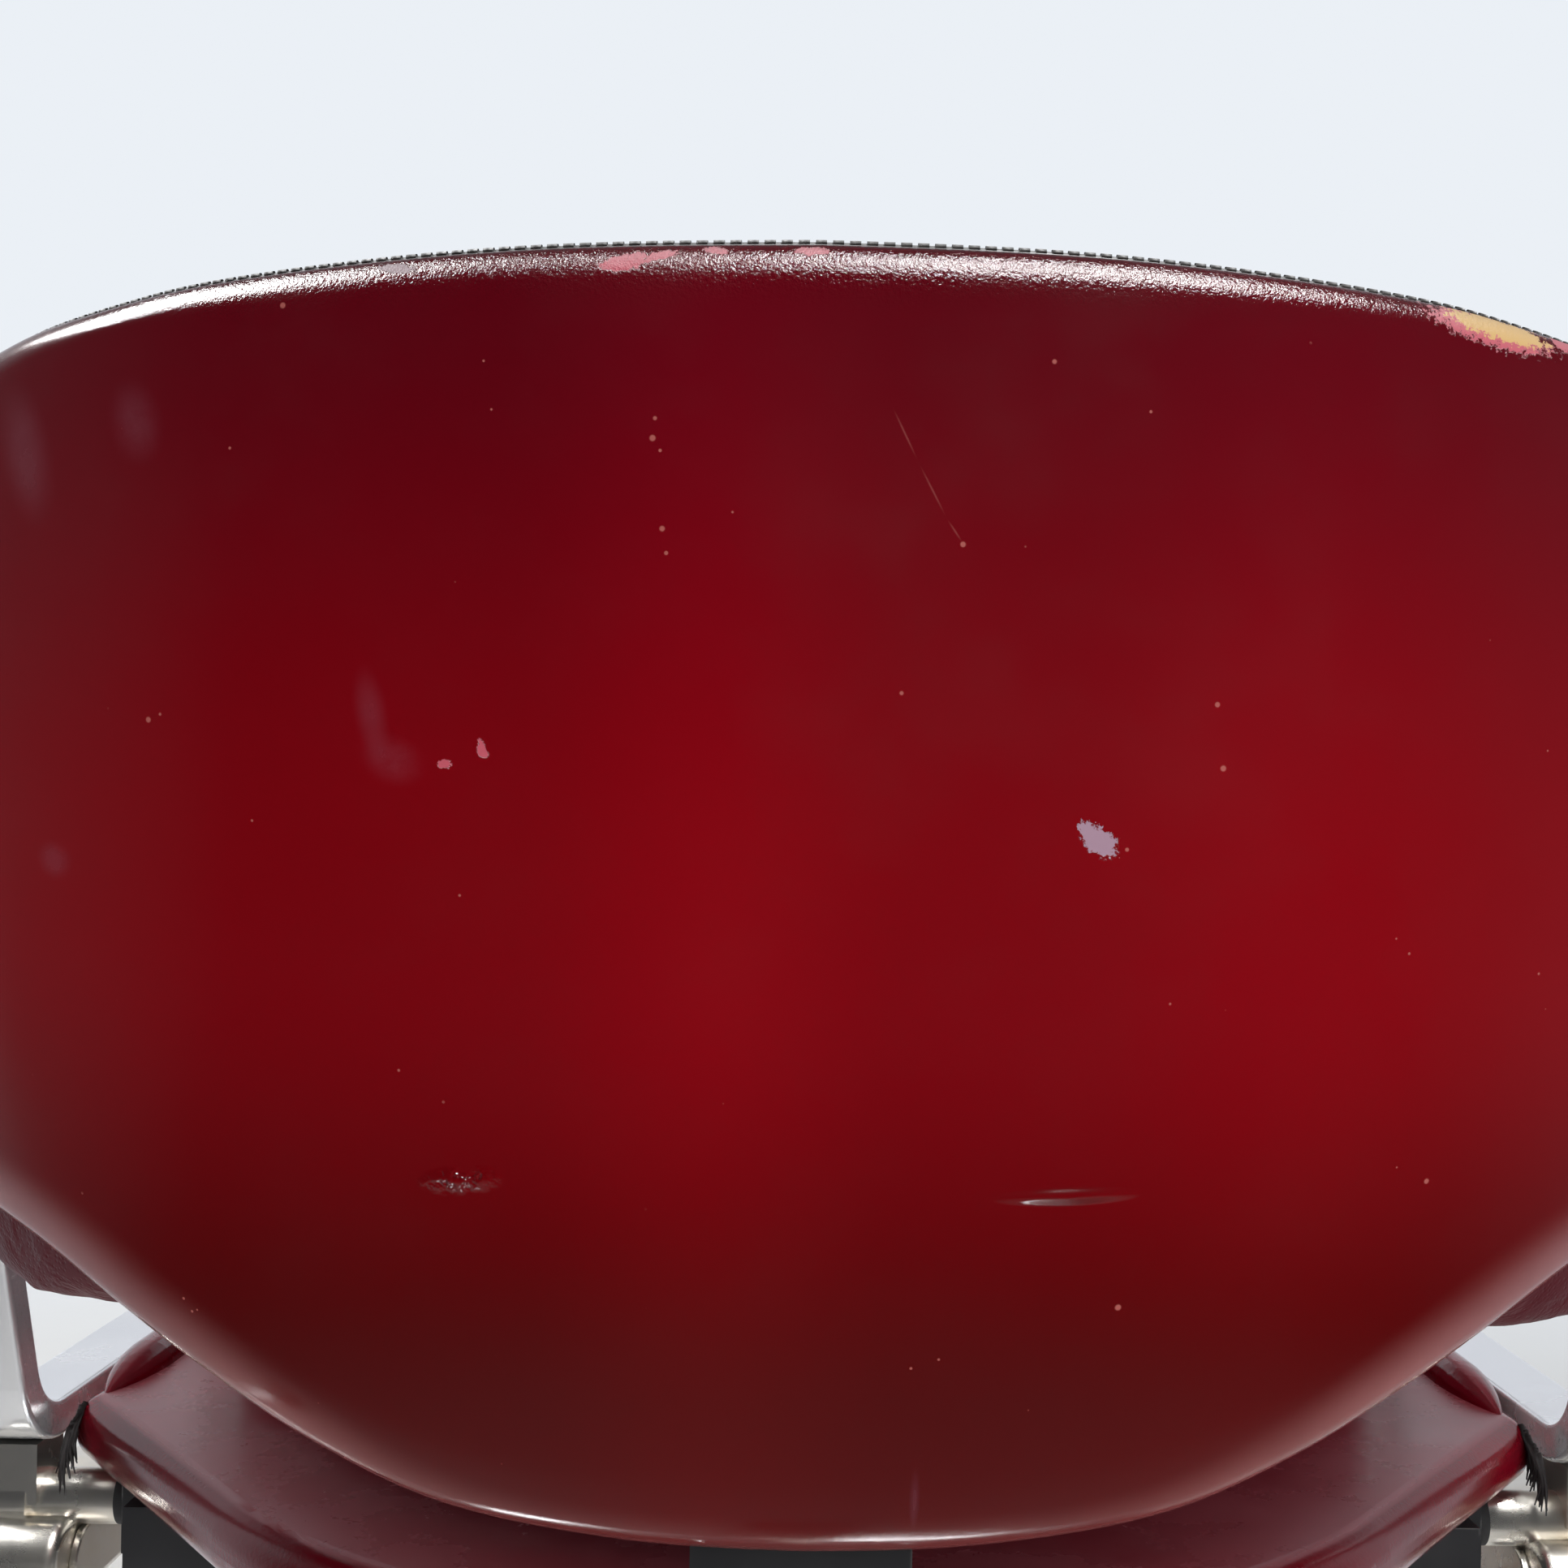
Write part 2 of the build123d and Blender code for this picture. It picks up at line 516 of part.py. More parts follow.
# ---------------------------------------------------------------- seat frame
rail_top = DECK_Z - DECK_WALL
rim_z = DECK_Z - RIM_T
side_rail_low_y1 = BOSS_YS[0] + BOSS_R + 2
side_rail_top_y1 = SEAT_CORNER_Y - 8
cross_z = rail_top - RAIL_T
cross_top = RAIL_BOTTOM + 22
inner_rail = (RAIL_X - RAIL_T / 2, RAIL_X + RAIL_T / 2)
lug_r = SHAFT_R + BUSH_WALL + 6
lugs = (SECTOR_X - SECTOR_T / 2 - BRAKE_GAP - LUG_T, SECTOR_X + SECTOR_T / 2 + BRAKE_GAP, STUD_LUG_X)

with BuildPart() as seat_frame:
    for side in (-1, 1):
        x0, x1 = side * inner_rail[0], side * inner_rail[1]
        side_x = (side * (FRAME_SIDE_X - RAIL_T / 2), side * (FRAME_SIDE_X + RAIL_T / 2))
        box(*side_x, FRAME_FRONT_Y, side_rail_low_y1, RAIL_BOTTOM, rim_z - 1)
        box(*side_x, FRAME_FRONT_Y, side_rail_top_y1, rim_z - 1, rail_top)
        box(x0, x1, SEAT_FRONT_Y + RIM_W + 2, PIVOT_Y + lug_r, cross_top, rail_top)
        box(x0, x1, PIVOT_Y - lug_r, PIVOT_Y + lug_r, PIVOT_Z, rail_top)
        box(x0, x1, LEG_PIVOT_Y - lug_r, LEG_PIVOT_Y + lug_r, PIVOT_Z, rim_z - 1)
        for y in (PIVOT_Y, LEG_PIVOT_Y):
            rod_x(x0, x1, y, PIVOT_Z, lug_r)
    for y in (-YOKE_BOLT_Y, YOKE_BOLT_Y):
        box(-FRAME_SIDE_X, FRAME_SIDE_X, y - CROSS_W / 2, y + CROSS_W / 2, RAIL_BOTTOM, cross_top)
    box(-FRAME_SIDE_X, FRAME_SIDE_X, FRAME_FRONT_Y, FRAME_FRONT_Y + CROSS_W, cross_z, rail_top)
    box(-STUD_LUG_X - LUG_T, STUD_LUG_X + LUG_T, stud_y - LUG_R, stud_y + LUG_R, cross_z, rail_top)
    for x in lugs:
        box(x, x + LUG_T, stud_y - LUG_R, stud_y + LUG_R, stud_z, cross_z)
        rod_x(x, x + LUG_T, stud_y, stud_z, LUG_R)
    rod_x(lugs[0] - 1, STUD_LUG_X + LUG_T + 1, stud_y, stud_z, STUD_R + RUN, mode=Mode.SUBTRACT)
    for y in (PIVOT_Y, LEG_PIVOT_Y):
        rod_x(-RAIL_X - RAIL_T, RAIL_X + RAIL_T, y, PIVOT_Z, SHAFT_R + BUSH_WALL + SLIP, mode=Mode.SUBTRACT)
    for y in BOSS_YS:
        rod_x(-FRAME_SIDE_X - RAIL_T, FRAME_SIDE_X + RAIL_T, y, BOSS_Z, BOLT_R + SLIP, mode=Mode.SUBTRACT)
        for side in (-1, 1):
            rod_x(side * (FRAME_SIDE_X - RAIL_T / 2), side * (FRAME_SIDE_X - RAIL_T / 2 - 8), y, BOSS_Z,
                  BOLT_HEAD_R + 1, mode=Mode.SUBTRACT)
    with Locations((0, 0, RAIL_BOTTOM)):
        with GridLocations(2 * RAIL_X, 2 * YOKE_BOLT_Y, 2, 2):
            Cylinder(BOLT_R + SLIP, 2 * BOLT_GRIP + 1, mode=Mode.SUBTRACT)
write(seat_frame, "seat_frame")

for name, y in (("recline_bushes", PIVOT_Y), ("leg_bushes", LEG_PIVOT_Y)):
    with BuildPart() as bushes:
        for side in (-1, 1):
            rod_x(side * inner_rail[0], side * inner_rail[1], y, PIVOT_Z, SHAFT_R + BUSH_WALL)
        rod_x(-RAIL_X - RAIL_T, RAIL_X + RAIL_T, y, PIVOT_Z, SHAFT_R + RUN, mode=Mode.SUBTRACT)
    write(bushes, name)

# ---------------------------------------------------------------- seat shell and cushion
flare = radians(SEAT_FLARE)
seat_rear_y = SEAT_CORNER_Y + SEAT_HALF_W / tan(flare) - SEAT_REAR_R * (1 / sin(flare) - 1)
cushion_rear_y = CUSHION_CORNER_Y + CUSHION_HALF_W / tan(flare) - CUSHION_REAR_R * (1 / sin(flare) - 1)


def seat_plan(half_w, front_y, corner_y, front_r, corner_r, rear_r):
    """A seat's plan: straight front and sides, and rear edges that close in to a round end."""
    tip_y = corner_y + half_w / tan(flare)
    with BuildLine() as plan:
        FilletPolyline((half_w, front_y), (half_w, corner_y), (0, tip_y), (-half_w, corner_y),
                       (-half_w, front_y), radius=(front_r, corner_r, rear_r, corner_r, front_r), close=True)
    return make_face(plan.edges())


with BuildPart() as seat_shell:
    with BuildSketch(Plane.XY.offset(DECK_Z - RIM_T)):
        seat_plan(SEAT_HALF_W, SEAT_FRONT_Y, SEAT_CORNER_Y, SEAT_FRONT_CORNER_R, SEAT_CORNER_R, SEAT_REAR_R)
    extrude(amount=RIM_T)
    rims = seat_shell.edges().group_by(Axis.Z)
    fillet(rims[-1] + rims[0], radius=RIM_T / 2 - 1.5)
    roll_x = SEAT_HALF_W - ROLL_R
    roll_z = DECK_Z + ROLL_RISE - ROLL_R
    for side in (-1, 1):
        with BuildSketch(Plane.XY.offset(roll_z)):
            with BuildLine():
                tail = Line((side * roll_x, SEAT_CORNER_Y - 2), (side * roll_x, SEAT_FRONT_Y + 62))
                nose = ThreePointArc(tail @ 1, (side * (roll_x + ROLL_R * 0.75), SEAT_FRONT_Y + 66),
                                     (side * (roll_x + ROLL_R), SEAT_FRONT_Y + 80))
                flank = Line(nose @ 1, (side * (roll_x + ROLL_R), SEAT_CORNER_Y - 48))
                Spline(flank @ 1, (side * (roll_x + ROLL_R * 0.6), SEAT_CORNER_Y - 20), tail @ 0)
            make_face()
        revolve(axis=Axis((side * roll_x, 0, roll_z), (0, 1, 0)))
    with BuildSketch(Plane.XY.offset(DECK_Z - RIM_T)):
        seat_plan(SEAT_HALF_W - RIM_W, SEAT_FRONT_Y + RIM_W, SEAT_CORNER_Y - RIM_W * tan(flare / 2),
                  SEAT_FRONT_CORNER_R - RIM_W, POCKET_CORNER_R, SEAT_REAR_R - RIM_W)
    extrude(amount=RIM_T - DECK_WALL, mode=Mode.SUBTRACT)
    box(-NOTCH_HALF, NOTCH_HALF, seat_rear_y - NOTCH_DEPTH, seat_rear_y + 5, DECK_Z - RIM_T - 1, DECK_Z + 1,
        mode=Mode.SUBTRACT)
write(seat_shell, "seat_shell")

with BuildPart() as seat_cushion:
    cushion_z = DECK_Z + SEATED
    with BuildSketch(Plane.XY.offset(cushion_z)):
        seat_plan(CUSHION_HALF_W, CUSHION_FRONT_Y, CUSHION_CORNER_Y, CUSHION_TURN, CUSHION_TURN, CUSHION_REAR_R)
    extrude(amount=CUSHION_T)
    with Locations((0, (CUSHION_FRONT_Y + cushion_rear_y) / 2, cushion_z + CUSHION_T - CUSHION_CROWN_R)):
        Sphere(CUSHION_CROWN_R, mode=Mode.INTERSECT)
    top = seat_cushion.faces().sort_by(Axis.Z)[-1]
    fillet(top.edges(), radius=20)
    fillet(seat_cushion.faces().sort_by(Axis.Z)[0].edges(), radius=10)
write(seat_cushion, "seat_cushion")

# ---------------------------------------------------------------- arms and side castings
bar_x = SEAT_HALF_W + BAR_GAP + BAR_W / 2
bar_z = DECK_Z - BAR_T / 2
lean_run = ARM_RISE * sin(radians(ARM_LEAN)) / cos(radians(ARM_LEAN))


def arm_outline(grow):
    """The closed loop of the arm in side view, grown or shrunk about the bar's middle line."""
    corners = [(ARM_REAR_Y, bar_z), (ARM_REAR_Y + lean_run, bar_z + ARM_RISE),
               (ARM_FRONT_Y + lean_run, bar_z + ARM_RISE), (ARM_FRONT_Y, bar_z)]
    with BuildLine() as loop:
        FilletPolyline(*corners, radius=BAR_BEND, close=True)
    face = make_face(loop.edges(), mode=Mode.PRIVATE)
    return offset(face, amount=grow)


pad_z0 = bar_z + ARM_RISE + BAR_T / 2
for side, name in ((1, "left"), (-1, "right")):
    with BuildPart() as arm:
        with BuildSketch(Plane.YZ.offset(side * bar_x - BAR_W / 2)):
            arm_outline(BAR_T / 2)
        extrude(amount=BAR_W)
        with BuildSketch(Plane.YZ.offset(side * bar_x - BAR_W / 2)):
            arm_outline(-BAR_T / 2)
        extrude(amount=BAR_W, mode=Mode.SUBTRACT)
        rims = arm.faces().filter_by(Axis.X)
        fillet(rims.edges(), radius=2)
        for y in BOSS_YS:
            rod_z(side * bar_x, y + SCREW_STEP, bar_z - BAR_T, bar_z, SCREW_R + SLIP, mode=Mode.SUBTRACT)
    write(arm, f"arm_loop_{name}")

    with BuildPart() as casting:
        x0, x1 = side * BEAM_X0, side * BEAM_X1
        box(x0, x1, BOSS_YS[1] - BEAM_OVERHANG, BOSS_YS[0] + BEAM_OVERHANG, BEAM_Z0, BEAM_Z1)
        fillet(casting.edges().filter_by(Axis.X), radius=13)
        fillet(casting.faces().filter_by(Axis.X).edges(), radius=4)
        for y in BOSS_YS:
            rod_x(side * BOSS_INNER_X, side * COLLAR_X, y, BOSS_Z, BOSS_R)
            rod_x(side * COLLAR_X, side * BOSS_OUTER_X, y, BOSS_Z, BOSS_COLLAR_R)
            box(side * (bar_x - 9), side * (bar_x + 9), y - 12, y + 12, BOSS_Z, bar_z - BAR_T / 2)
            rod_x(side * (BOSS_INNER_X - 1), side * BOSS_OUTER_X, y, BOSS_Z, BOLT_R + SLIP, mode=Mode.SUBTRACT)
            rod_z(side * bar_x, y + SCREW_STEP, BEAM_Z0 - 1, bar_z, SCREW_R + SLIP, mode=Mode.SUBTRACT)
    write(casting, f"side_casting_{name}")

    with BuildPart() as pad:
        with BuildSketch(Plane.XY.offset(pad_z0 + SEATED)):
            with Locations((side * bar_x, (ARM_REAR_Y + ARM_FRONT_Y) / 2 + lean_run)):
                SlotOverall(ARM_REAR_Y - ARM_FRONT_Y - 6, PAD_W, rotation=90)
        extrude(amount=PAD_T)
        fillet(pad.faces().sort_by(Axis.Z)[-1].edges(), radius=10)
        fillet(pad.faces().sort_by(Axis.Z)[0].edges(), radius=4)
    write(pad, f"arm_pad_{name}")

with BuildPart() as boss_washers:
    for side in (-1, 1):
        for y in BOSS_YS:
            inner = FRAME_SIDE_X + RAIL_T / 2
            rod_x(side * inner, side * BOSS_INNER_X, y, BOSS_Z, BOSS_R)
            rod_x(side * (inner - 1), side * (BOSS_INNER_X + 1), y, BOSS_Z, BOLT_R + SLIP, mode=Mode.SUBTRACT)
write(boss_washers, "boss_washers")

with BuildPart() as frame_bolts:
    for side in (-1, 1):
        for y in BOSS_YS:
            seat_x = FRAME_SIDE_X - RAIL_T / 2
            rod_x(side * seat_x, side * BOSS_OUTER_X, y, BOSS_Z, BOLT_R)
            rod_x(side * (seat_x - 5), side * seat_x, y, BOSS_Z, BOLT_HEAD_R)
write(frame_bolts, "frame_bolts")

with BuildPart() as boss_caps:
    for side in (-1, 1):
        for y in BOSS_YS:
            rod_x(side * BOSS_OUTER_X, side * (BOSS_OUTER_X + 4), y, BOSS_Z, BOSS_COLLAR_R - 1)
    fillet(boss_caps.edges().filter_by(GeomType.CIRCLE), radius=1.2)
write(boss_caps, "boss_caps")

with BuildPart() as casting_discs:
    for side in (-1, 1):
        rod_x(side * (BEAM_X0 - DISC_T), side * BEAM_X0, BOSS_YS[0], BOSS_Z - BOSS_R - DISC_R - 0.5, DISC_R)
    fillet(casting_discs.edges().filter_by(GeomType.CIRCLE), radius=0.8)
write(casting_discs, "casting_discs")

with BuildPart() as arm_screws:
    for side in (-1, 1):
        for y in BOSS_YS:
            rod_z(side * bar_x, y + SCREW_STEP, BEAM_Z0, bar_z, SCREW_R)
            rod_z(side * bar_x, y + SCREW_STEP, BEAM_Z0 - 4, BEAM_Z0, SCREW_R + 3)
write(arm_screws, "arm_screws")

# ---------------------------------------------------------------- backrest
lean_sin, lean_cos = sin(radians(LEAN)), cos(radians(LEAN))
back = Plane(origin=(0, TONGUE_Y, TONGUE_Z), x_dir=(1, 0, 0), z_dir=(0, -lean_cos, lean_sin))
side_view = Plane(origin=back.origin, x_dir=(0, lean_cos, -lean_sin), z_dir=(1, 0, 0))
shell_axis = Axis(back.origin + back.z_dir * SHELL_R, back.y_dir)


def bulge(v):
    """How far the shell's outer face stands out at a height along the lean."""
    return SHELL_BULGE * 4 * (v / SHELL_H) * (1 - v / SHELL_H)


def barrel(depth0, depth1, crown=0.0):
    """A wall round the sitter, between two depths inside the shell's outer face.

    A crown bows the inner face forward instead of letting it follow the shell.
    """
    low, high = -60, SHELL_H + 60
    bow = bulge(low)
    with BuildSketch(side_view) as wall:
        with BuildLine():
            outer = ThreePointArc((bow - depth0, low), (SHELL_BULGE - depth0, SHELL_H / 2),
                                  (bow - depth0, high))
            if crown:
                inner = ThreePointArc((-depth1 + crown, high), (-depth1, SHELL_H / 2), (-depth1 + crown, low))
            else:
                inner = ThreePointArc((bow - depth1, high), (SHELL_BULGE - depth1, SHELL_H / 2),
                                      (bow - depth1, low))
            Line(outer @ 1, inner @ 0)
            Line(inner @ 1, outer @ 0)
        make_face()
    revolve(wall.sketch, axis=shell_axis, revolution_arc=360)


def on_back(v, depth):
    """A place on the middle line of the backrest: along the lean, and inwards from the shell's outer face."""
    return back.from_local_coords(Vector(0, v, depth - bulge(v)))


def into_shell(x, v, depth):
    """A plane at a place inside the shell's outer face, facing straight out through it."""
    turn = asin(x / SHELL_R)
    out = Vector(sin(turn), 0, 0) - back.z_dir * cos(turn)
    middle = back.origin + back.y_dir * v + back.z_dir * SHELL_R
    return Plane(origin=middle + out * (SHELL_R + bulge(v) - depth), z_dir=out)


plate_bolts = [(side * PLATE_BOLT_X, PLATE_V + step) for side in (-1, 1) for step in (-9, 9)]
plate_in = SHELL_T + SEATED + PLATE_T

lower = [(WING_X * share, v) for share, v in LOWER_SWEEP]
tip = [(WING_X - drawn, v) for drawn, v in WING_TIP]
shoulder = [(WING_X - drawn, SHELL_H - fall) for drawn, fall in SHOULDER]

with BuildPart() as back_shell:
    barrel(0, SHELL_T)
    with BuildSketch(back.offset(-SHELL_BULGE - 20)):
        with BuildLine():
            right = Spline((0, 0), *lower, tangents=((1, 0), (1, 0.3)))
            wing = Spline(right @ 1, *tip, tangents=(right % 1, (0, 1)))
            flank = Spline(wing @ 1, *shoulder[:3], tangents=((0, 1), (-1, 0.28)))
            Spline(flank @ 1, shoulder[3], (0, SHELL_H), tangents=(flank % 1, (-1, 0)))
            mirror(about=Plane.YZ)
        make_face()
    extrude(amount=SHELL_R * 0.5 + SHELL_BULGE + 20, mode=Mode.INTERSECT)
    fillet(back_shell.edges(), radius=SHELL_T / 2 - 1)
    for x, v in plate_bolts:
        with Locations(into_shell(x, v, SHELL_T)):
            Cylinder(PLATE_BOLT_R + SLIP, 11, mode=Mode.SUBTRACT)
write(back_shell, "back_shell")

# A curved plate under the shell's middle, on a bar that runs down to the hinge under the seat.
foot_y = seat_rear_y - BACK_BAR_T / 2 - 2
knee_z = TONGUE_Z + 14
head = on_back(PLATE_V + PLATE_H / 2 - 6, SHELL_T + SEATED + BACK_BAR_T / 2 + 1.5)
with BuildPart() as back_bar:
    barrel(SHELL_T + SEATED, plate_in)
    with BuildSketch(back.offset(-SHELL_BULGE - 20)):
        with Locations((0, PLATE_V)):
            RectangleRounded(2 * PLATE_HALF_W, PLATE_H, 8)
    extrude(amount=SHELL_R * 0.5, mode=Mode.INTERSECT)
    with BuildSketch(Plane.YZ.offset(-BACK_BAR_W / 2)):
        with BuildLine():
            FilletPolyline((PIVOT_Y, PIVOT_Z), (foot_y, PIVOT_Z), (foot_y, knee_z), (head.Y, head.Z),
                           radius=(24, 60))
        trace(line_width=BACK_BAR_T)
    extrude(amount=BACK_BAR_W)
    rod_x(-BACK_HUB, BACK_HUB, PIVOT_Y, PIVOT_Z, SHAFT_R + 8)
    rod_x(-RAIL_X, RAIL_X, PIVOT_Y, PIVOT_Z, SHAFT_R + SLIP, mode=Mode.SUBTRACT)
    for x, v in plate_bolts:
        with Locations(into_shell(x, v, SHELL_T)):
            Cylinder(PLATE_BOLT_R + SLIP, 30, mode=Mode.SUBTRACT)
        with Locations(into_shell(x, v, plate_in - SPOT_FACE)):
            Cylinder(PLATE_HEAD_R + 1, 12, align=(Align.CENTER, Align.CENTER, Align.MAX), mode=Mode.SUBTRACT)
write(back_bar, "back_bar")

with BuildPart() as plate_screws:
    for x, v in plate_bolts:
        with Locations(into_shell(x, v, plate_in - SPOT_FACE)):
            Cylinder(PLATE_BOLT_R, plate_in - SPOT_FACE - 4, align=(Align.CENTER, Align.CENTER, Align.MIN))
            Cylinder(PLATE_HEAD_R, PLATE_HEAD_T, align=(Align.CENTER, Align.CENTER, Align.MAX))
write(plate_screws, "plate_screws")

with BuildPart() as plate_room:
    barrel(0, plate_in + PLATE_HEAD_T + SEATED)
    with BuildSketch(back.offset(-SHELL_BULGE - 20)):
        with Locations((0, PLATE_V)):
            Rectangle(2 * (PLATE_HALF_W + SEATED), PLATE_H + 2 * SEATED)
    extrude(amount=SHELL_R * 0.5, mode=Mode.INTERSECT)
    front = BACK_BAR_T / 2 + SEATED
    with BuildSketch(Plane.YZ.offset(-BACK_BAR_W / 2 - SEATED)):
        with BuildLine():
            Polyline((foot_y - front, TONGUE_Z), (foot_y - front, knee_z), (head.Y - front - 0.6, head.Z + 14),
                     (head.Y + 20, head.Z + 14), (foot_y + 20, TONGUE_Z), close=True)
        make_face()
    extrude(amount=BACK_BAR_W + 2 * SEATED)

with BuildPart() as back_cushion:
    barrel(SHELL_T + SEATED, SHELL_T + BACK_PAD_T, crown=34)
    with BuildSketch(back):
        with BuildLine():
            w, low, high = BACK_PAD_HALF_W, BACK_PAD_BOTTOM, BACK_PAD_TOP
            base = ThreePointArc((-w + 26, low), (0, low - 3), (w - 26, low))
            turn = ThreePointArc(base @ 1, (w - 7, low + 8), (w, low + 28))
            side = ThreePointArc(turn @ 1, (w - CUSHION_DRAW / 2, (low + high) / 2), (w - 4, high - 74))
            crest = Spline(side @ 1, (w - 22, high - 32), (w * 0.78, high - 14), (w * 0.4, high - 3), (0, high),
                           tangents=(side % 1, (-1, 0)))
            mirror([turn, side, crest], about=Plane.YZ)
        make_face()
    extrude(amount=SHELL_R * 0.55, both=True, mode=Mode.INTERSECT)
    add(plate_room.part, mode=Mode.SUBTRACT)
write(back_cushion, "back_cushion")

# ---------------------------------------------------------------- recline linkage
link_z = PIVOT_Z - CRANK
crank_in, crank_out = CRANK_X - CRANK_T / 2, CRANK_X + CRANK_T / 2
link_in, link_out = LINK_X - LINK_T / 2, LINK_X + LINK_T / 2


def cranks(y):
    """A pair of cranks on a shaft, with the pins that carry the links."""
    for side in (-1, 1):
        with BuildSketch(Plane.YZ.offset(side * CRANK_X - CRANK_T / 2)) as web:
            with Locations((y, PIVOT_Z - CRANK / 2)):
                SlotCenterToCenter(CRANK, 2 * CRANK_R, rotation=90)
        extrude(web.sketch, amount=CRANK_T)
        rod_x(side * crank_in, side * (link_out + PIN_END), y, link_z, LINK_PIN_R)


def on_sector(radius, angle):
    """A place in side view round the recline shaft: the angle falls from the line to the front."""
    return (PIVOT_Y - radius * cos(radians(angle)), PIVOT_Z - radius * sin(radians(angle)))


sector_in = SECTOR_X - SECTOR_T / 2
sector_out = SECTOR_X + SECTOR_T / 2

with BuildPart() as recline_shaft:
    rod_x(-crank_out, sector_out + 1, PIVOT_Y, PIVOT_Z, SHAFT_R)
    cranks(PIVOT_Y)
write(recline_shaft, "recline_shaft")

with BuildPart() as recline_sector:
    rim = SLOT_R + SECTOR_RIM
    first, last = STUD_ANGLE - SECTOR_END, STUD_ANGLE + RECLINE + SECTOR_END
    with BuildSketch(Plane.YZ.offset(sector_in)):
        with Locations((PIVOT_Y, PIVOT_Z)):
            Circle(SHAFT_R + 8)
        with BuildLine():
            edge = ThreePointArc(on_sector(rim, first), on_sector(rim, (first + last) / 2),
                                 on_sector(rim, last))
            Line(edge @ 1, (PIVOT_Y, PIVOT_Z))
            Line((PIVOT_Y, PIVOT_Z), edge @ 0)
        make_face()
        with BuildLine():
            track = ThreePointArc(on_sector(SLOT_R, STUD_ANGLE), on_sector(SLOT_R, STUD_ANGLE + RECLINE / 2),
                                  on_sector(SLOT_R, STUD_ANGLE + RECLINE), mode=Mode.PRIVATE)
        SlotArc(track, 2 * (STUD_R + SEATED), mode=Mode.SUBTRACT)
        with Locations((PIVOT_Y, PIVOT_Z)):
            Circle(SHAFT_R + SLIP, mode=Mode.SUBTRACT)
    extrude(amount=SECTOR_T)
write(recline_sector, "recline_sector")

with BuildPart() as brake_pads:
    rod_x(sector_in - BRAKE_GAP, sector_in - SEATED, stud_y, stud_z, LUG_R)
    rod_x(sector_out + SEATED, sector_out + BRAKE_GAP, stud_y, stud_z, LUG_R)
    rod_x(sector_in - LUG_T, sector_out + LUG_T, stud_y, stud_z, STUD_R + RUN, mode=Mode.SUBTRACT)
write(brake_pads, "brake_pads")

with BuildPart() as recline_links:
    for side in (-1, 1):
        with BuildSketch(Plane.YZ.offset(side * LINK_X - LINK_T / 2)):
            with Locations(((PIVOT_Y + LEG_PIVOT_Y) / 2, link_z)):
                SlotCenterToCenter(PIVOT_Y - LEG_PIVOT_Y, 2 * LINK_R)
            with Locations((PIVOT_Y, link_z)):
                Circle(LINK_PIN_R + RUN, mode=Mode.SUBTRACT)
            with Locations((LEG_PIVOT_Y, link_z)):
                Circle(LINK_PIN_R + OPEN_PIVOT, mode=Mode.SUBTRACT)
        extrude(amount=LINK_T)
write(recline_links, "recline_links")

with BuildPart() as recline_lever:
    rod_x(lugs[0] - SEATED - 5, lugs[0] - SEATED, stud_y, stud_z, STUD_R + 5)
    rod_x(lugs[0] - SEATED - 1, LEVER_X, stud_y, stud_z, STUD_R)
    with Locations((LEVER_X, stud_y, stud_z)):
        Sphere(STUD_R)
    with Locations(Location((LEVER_X, stud_y + LEVER_LENGTH / 2, stud_z), (90, 0, 0))):
        Cylinder(STUD_R, LEVER_LENGTH)
write(recline_lever, "recline_lever")

with BuildPart() as lever_knob:
    knob_y = stud_y + LEVER_LENGTH
    with BuildSketch(Plane.YZ.offset(LEVER_X)):
        with BuildLine():
            flank = Spline((knob_y - 22, stud_z + 9), (knob_y - 6, stud_z + 11), (knob_y + 6, stud_z + 14),
                           (knob_y + 16, stud_z + 8), (knob_y + 19, stud_z), tangents=((1, 0), (0, -1)))
            Line(flank @ 1, (knob_y + SLIP, stud_z))
            Polyline((knob_y + SLIP, stud_z), (knob_y + SLIP, stud_z + STUD_R + SLIP),
                     (knob_y - 22, stud_z + STUD_R + SLIP), flank @ 0)
        make_face()
    revolve(axis=Axis((LEVER_X, knob_y, stud_z), (0, 1, 0)))
write(lever_knob, "lever_knob")

# ---------------------------------------------------------------- leg rest
leg_sin, leg_cos = sin(radians(LEG_LEAN)), cos(radians(LEG_LEAN))
forward = Vector(0, -leg_cos, leg_sin)
leg = Plane(origin=(0, LEG_PIVOT_Y, PIVOT_Z), x_dir=(1, 0, 0), z_dir=forward)
leg_side = Plane(origin=leg.origin, x_dir=forward, z_dir=(1, 0, 0))
leg_normal = Axis(leg.origin, forward)
leg_hub_out = LEG_BAR_X + LEG_BAR_T / 2 + 4
foot = leg_side.from_local_coords(Vector(FOOT_REACH, FOOT_HINGE, 0))

with BuildPart() as leg_shaft:
    rod_x(-leg_hub_out, leg_hub_out, LEG_PIVOT_Y, PIVOT_Z, SHAFT_R)
    cranks(LEG_PIVOT_Y)
write(leg_shaft, "leg_shaft")

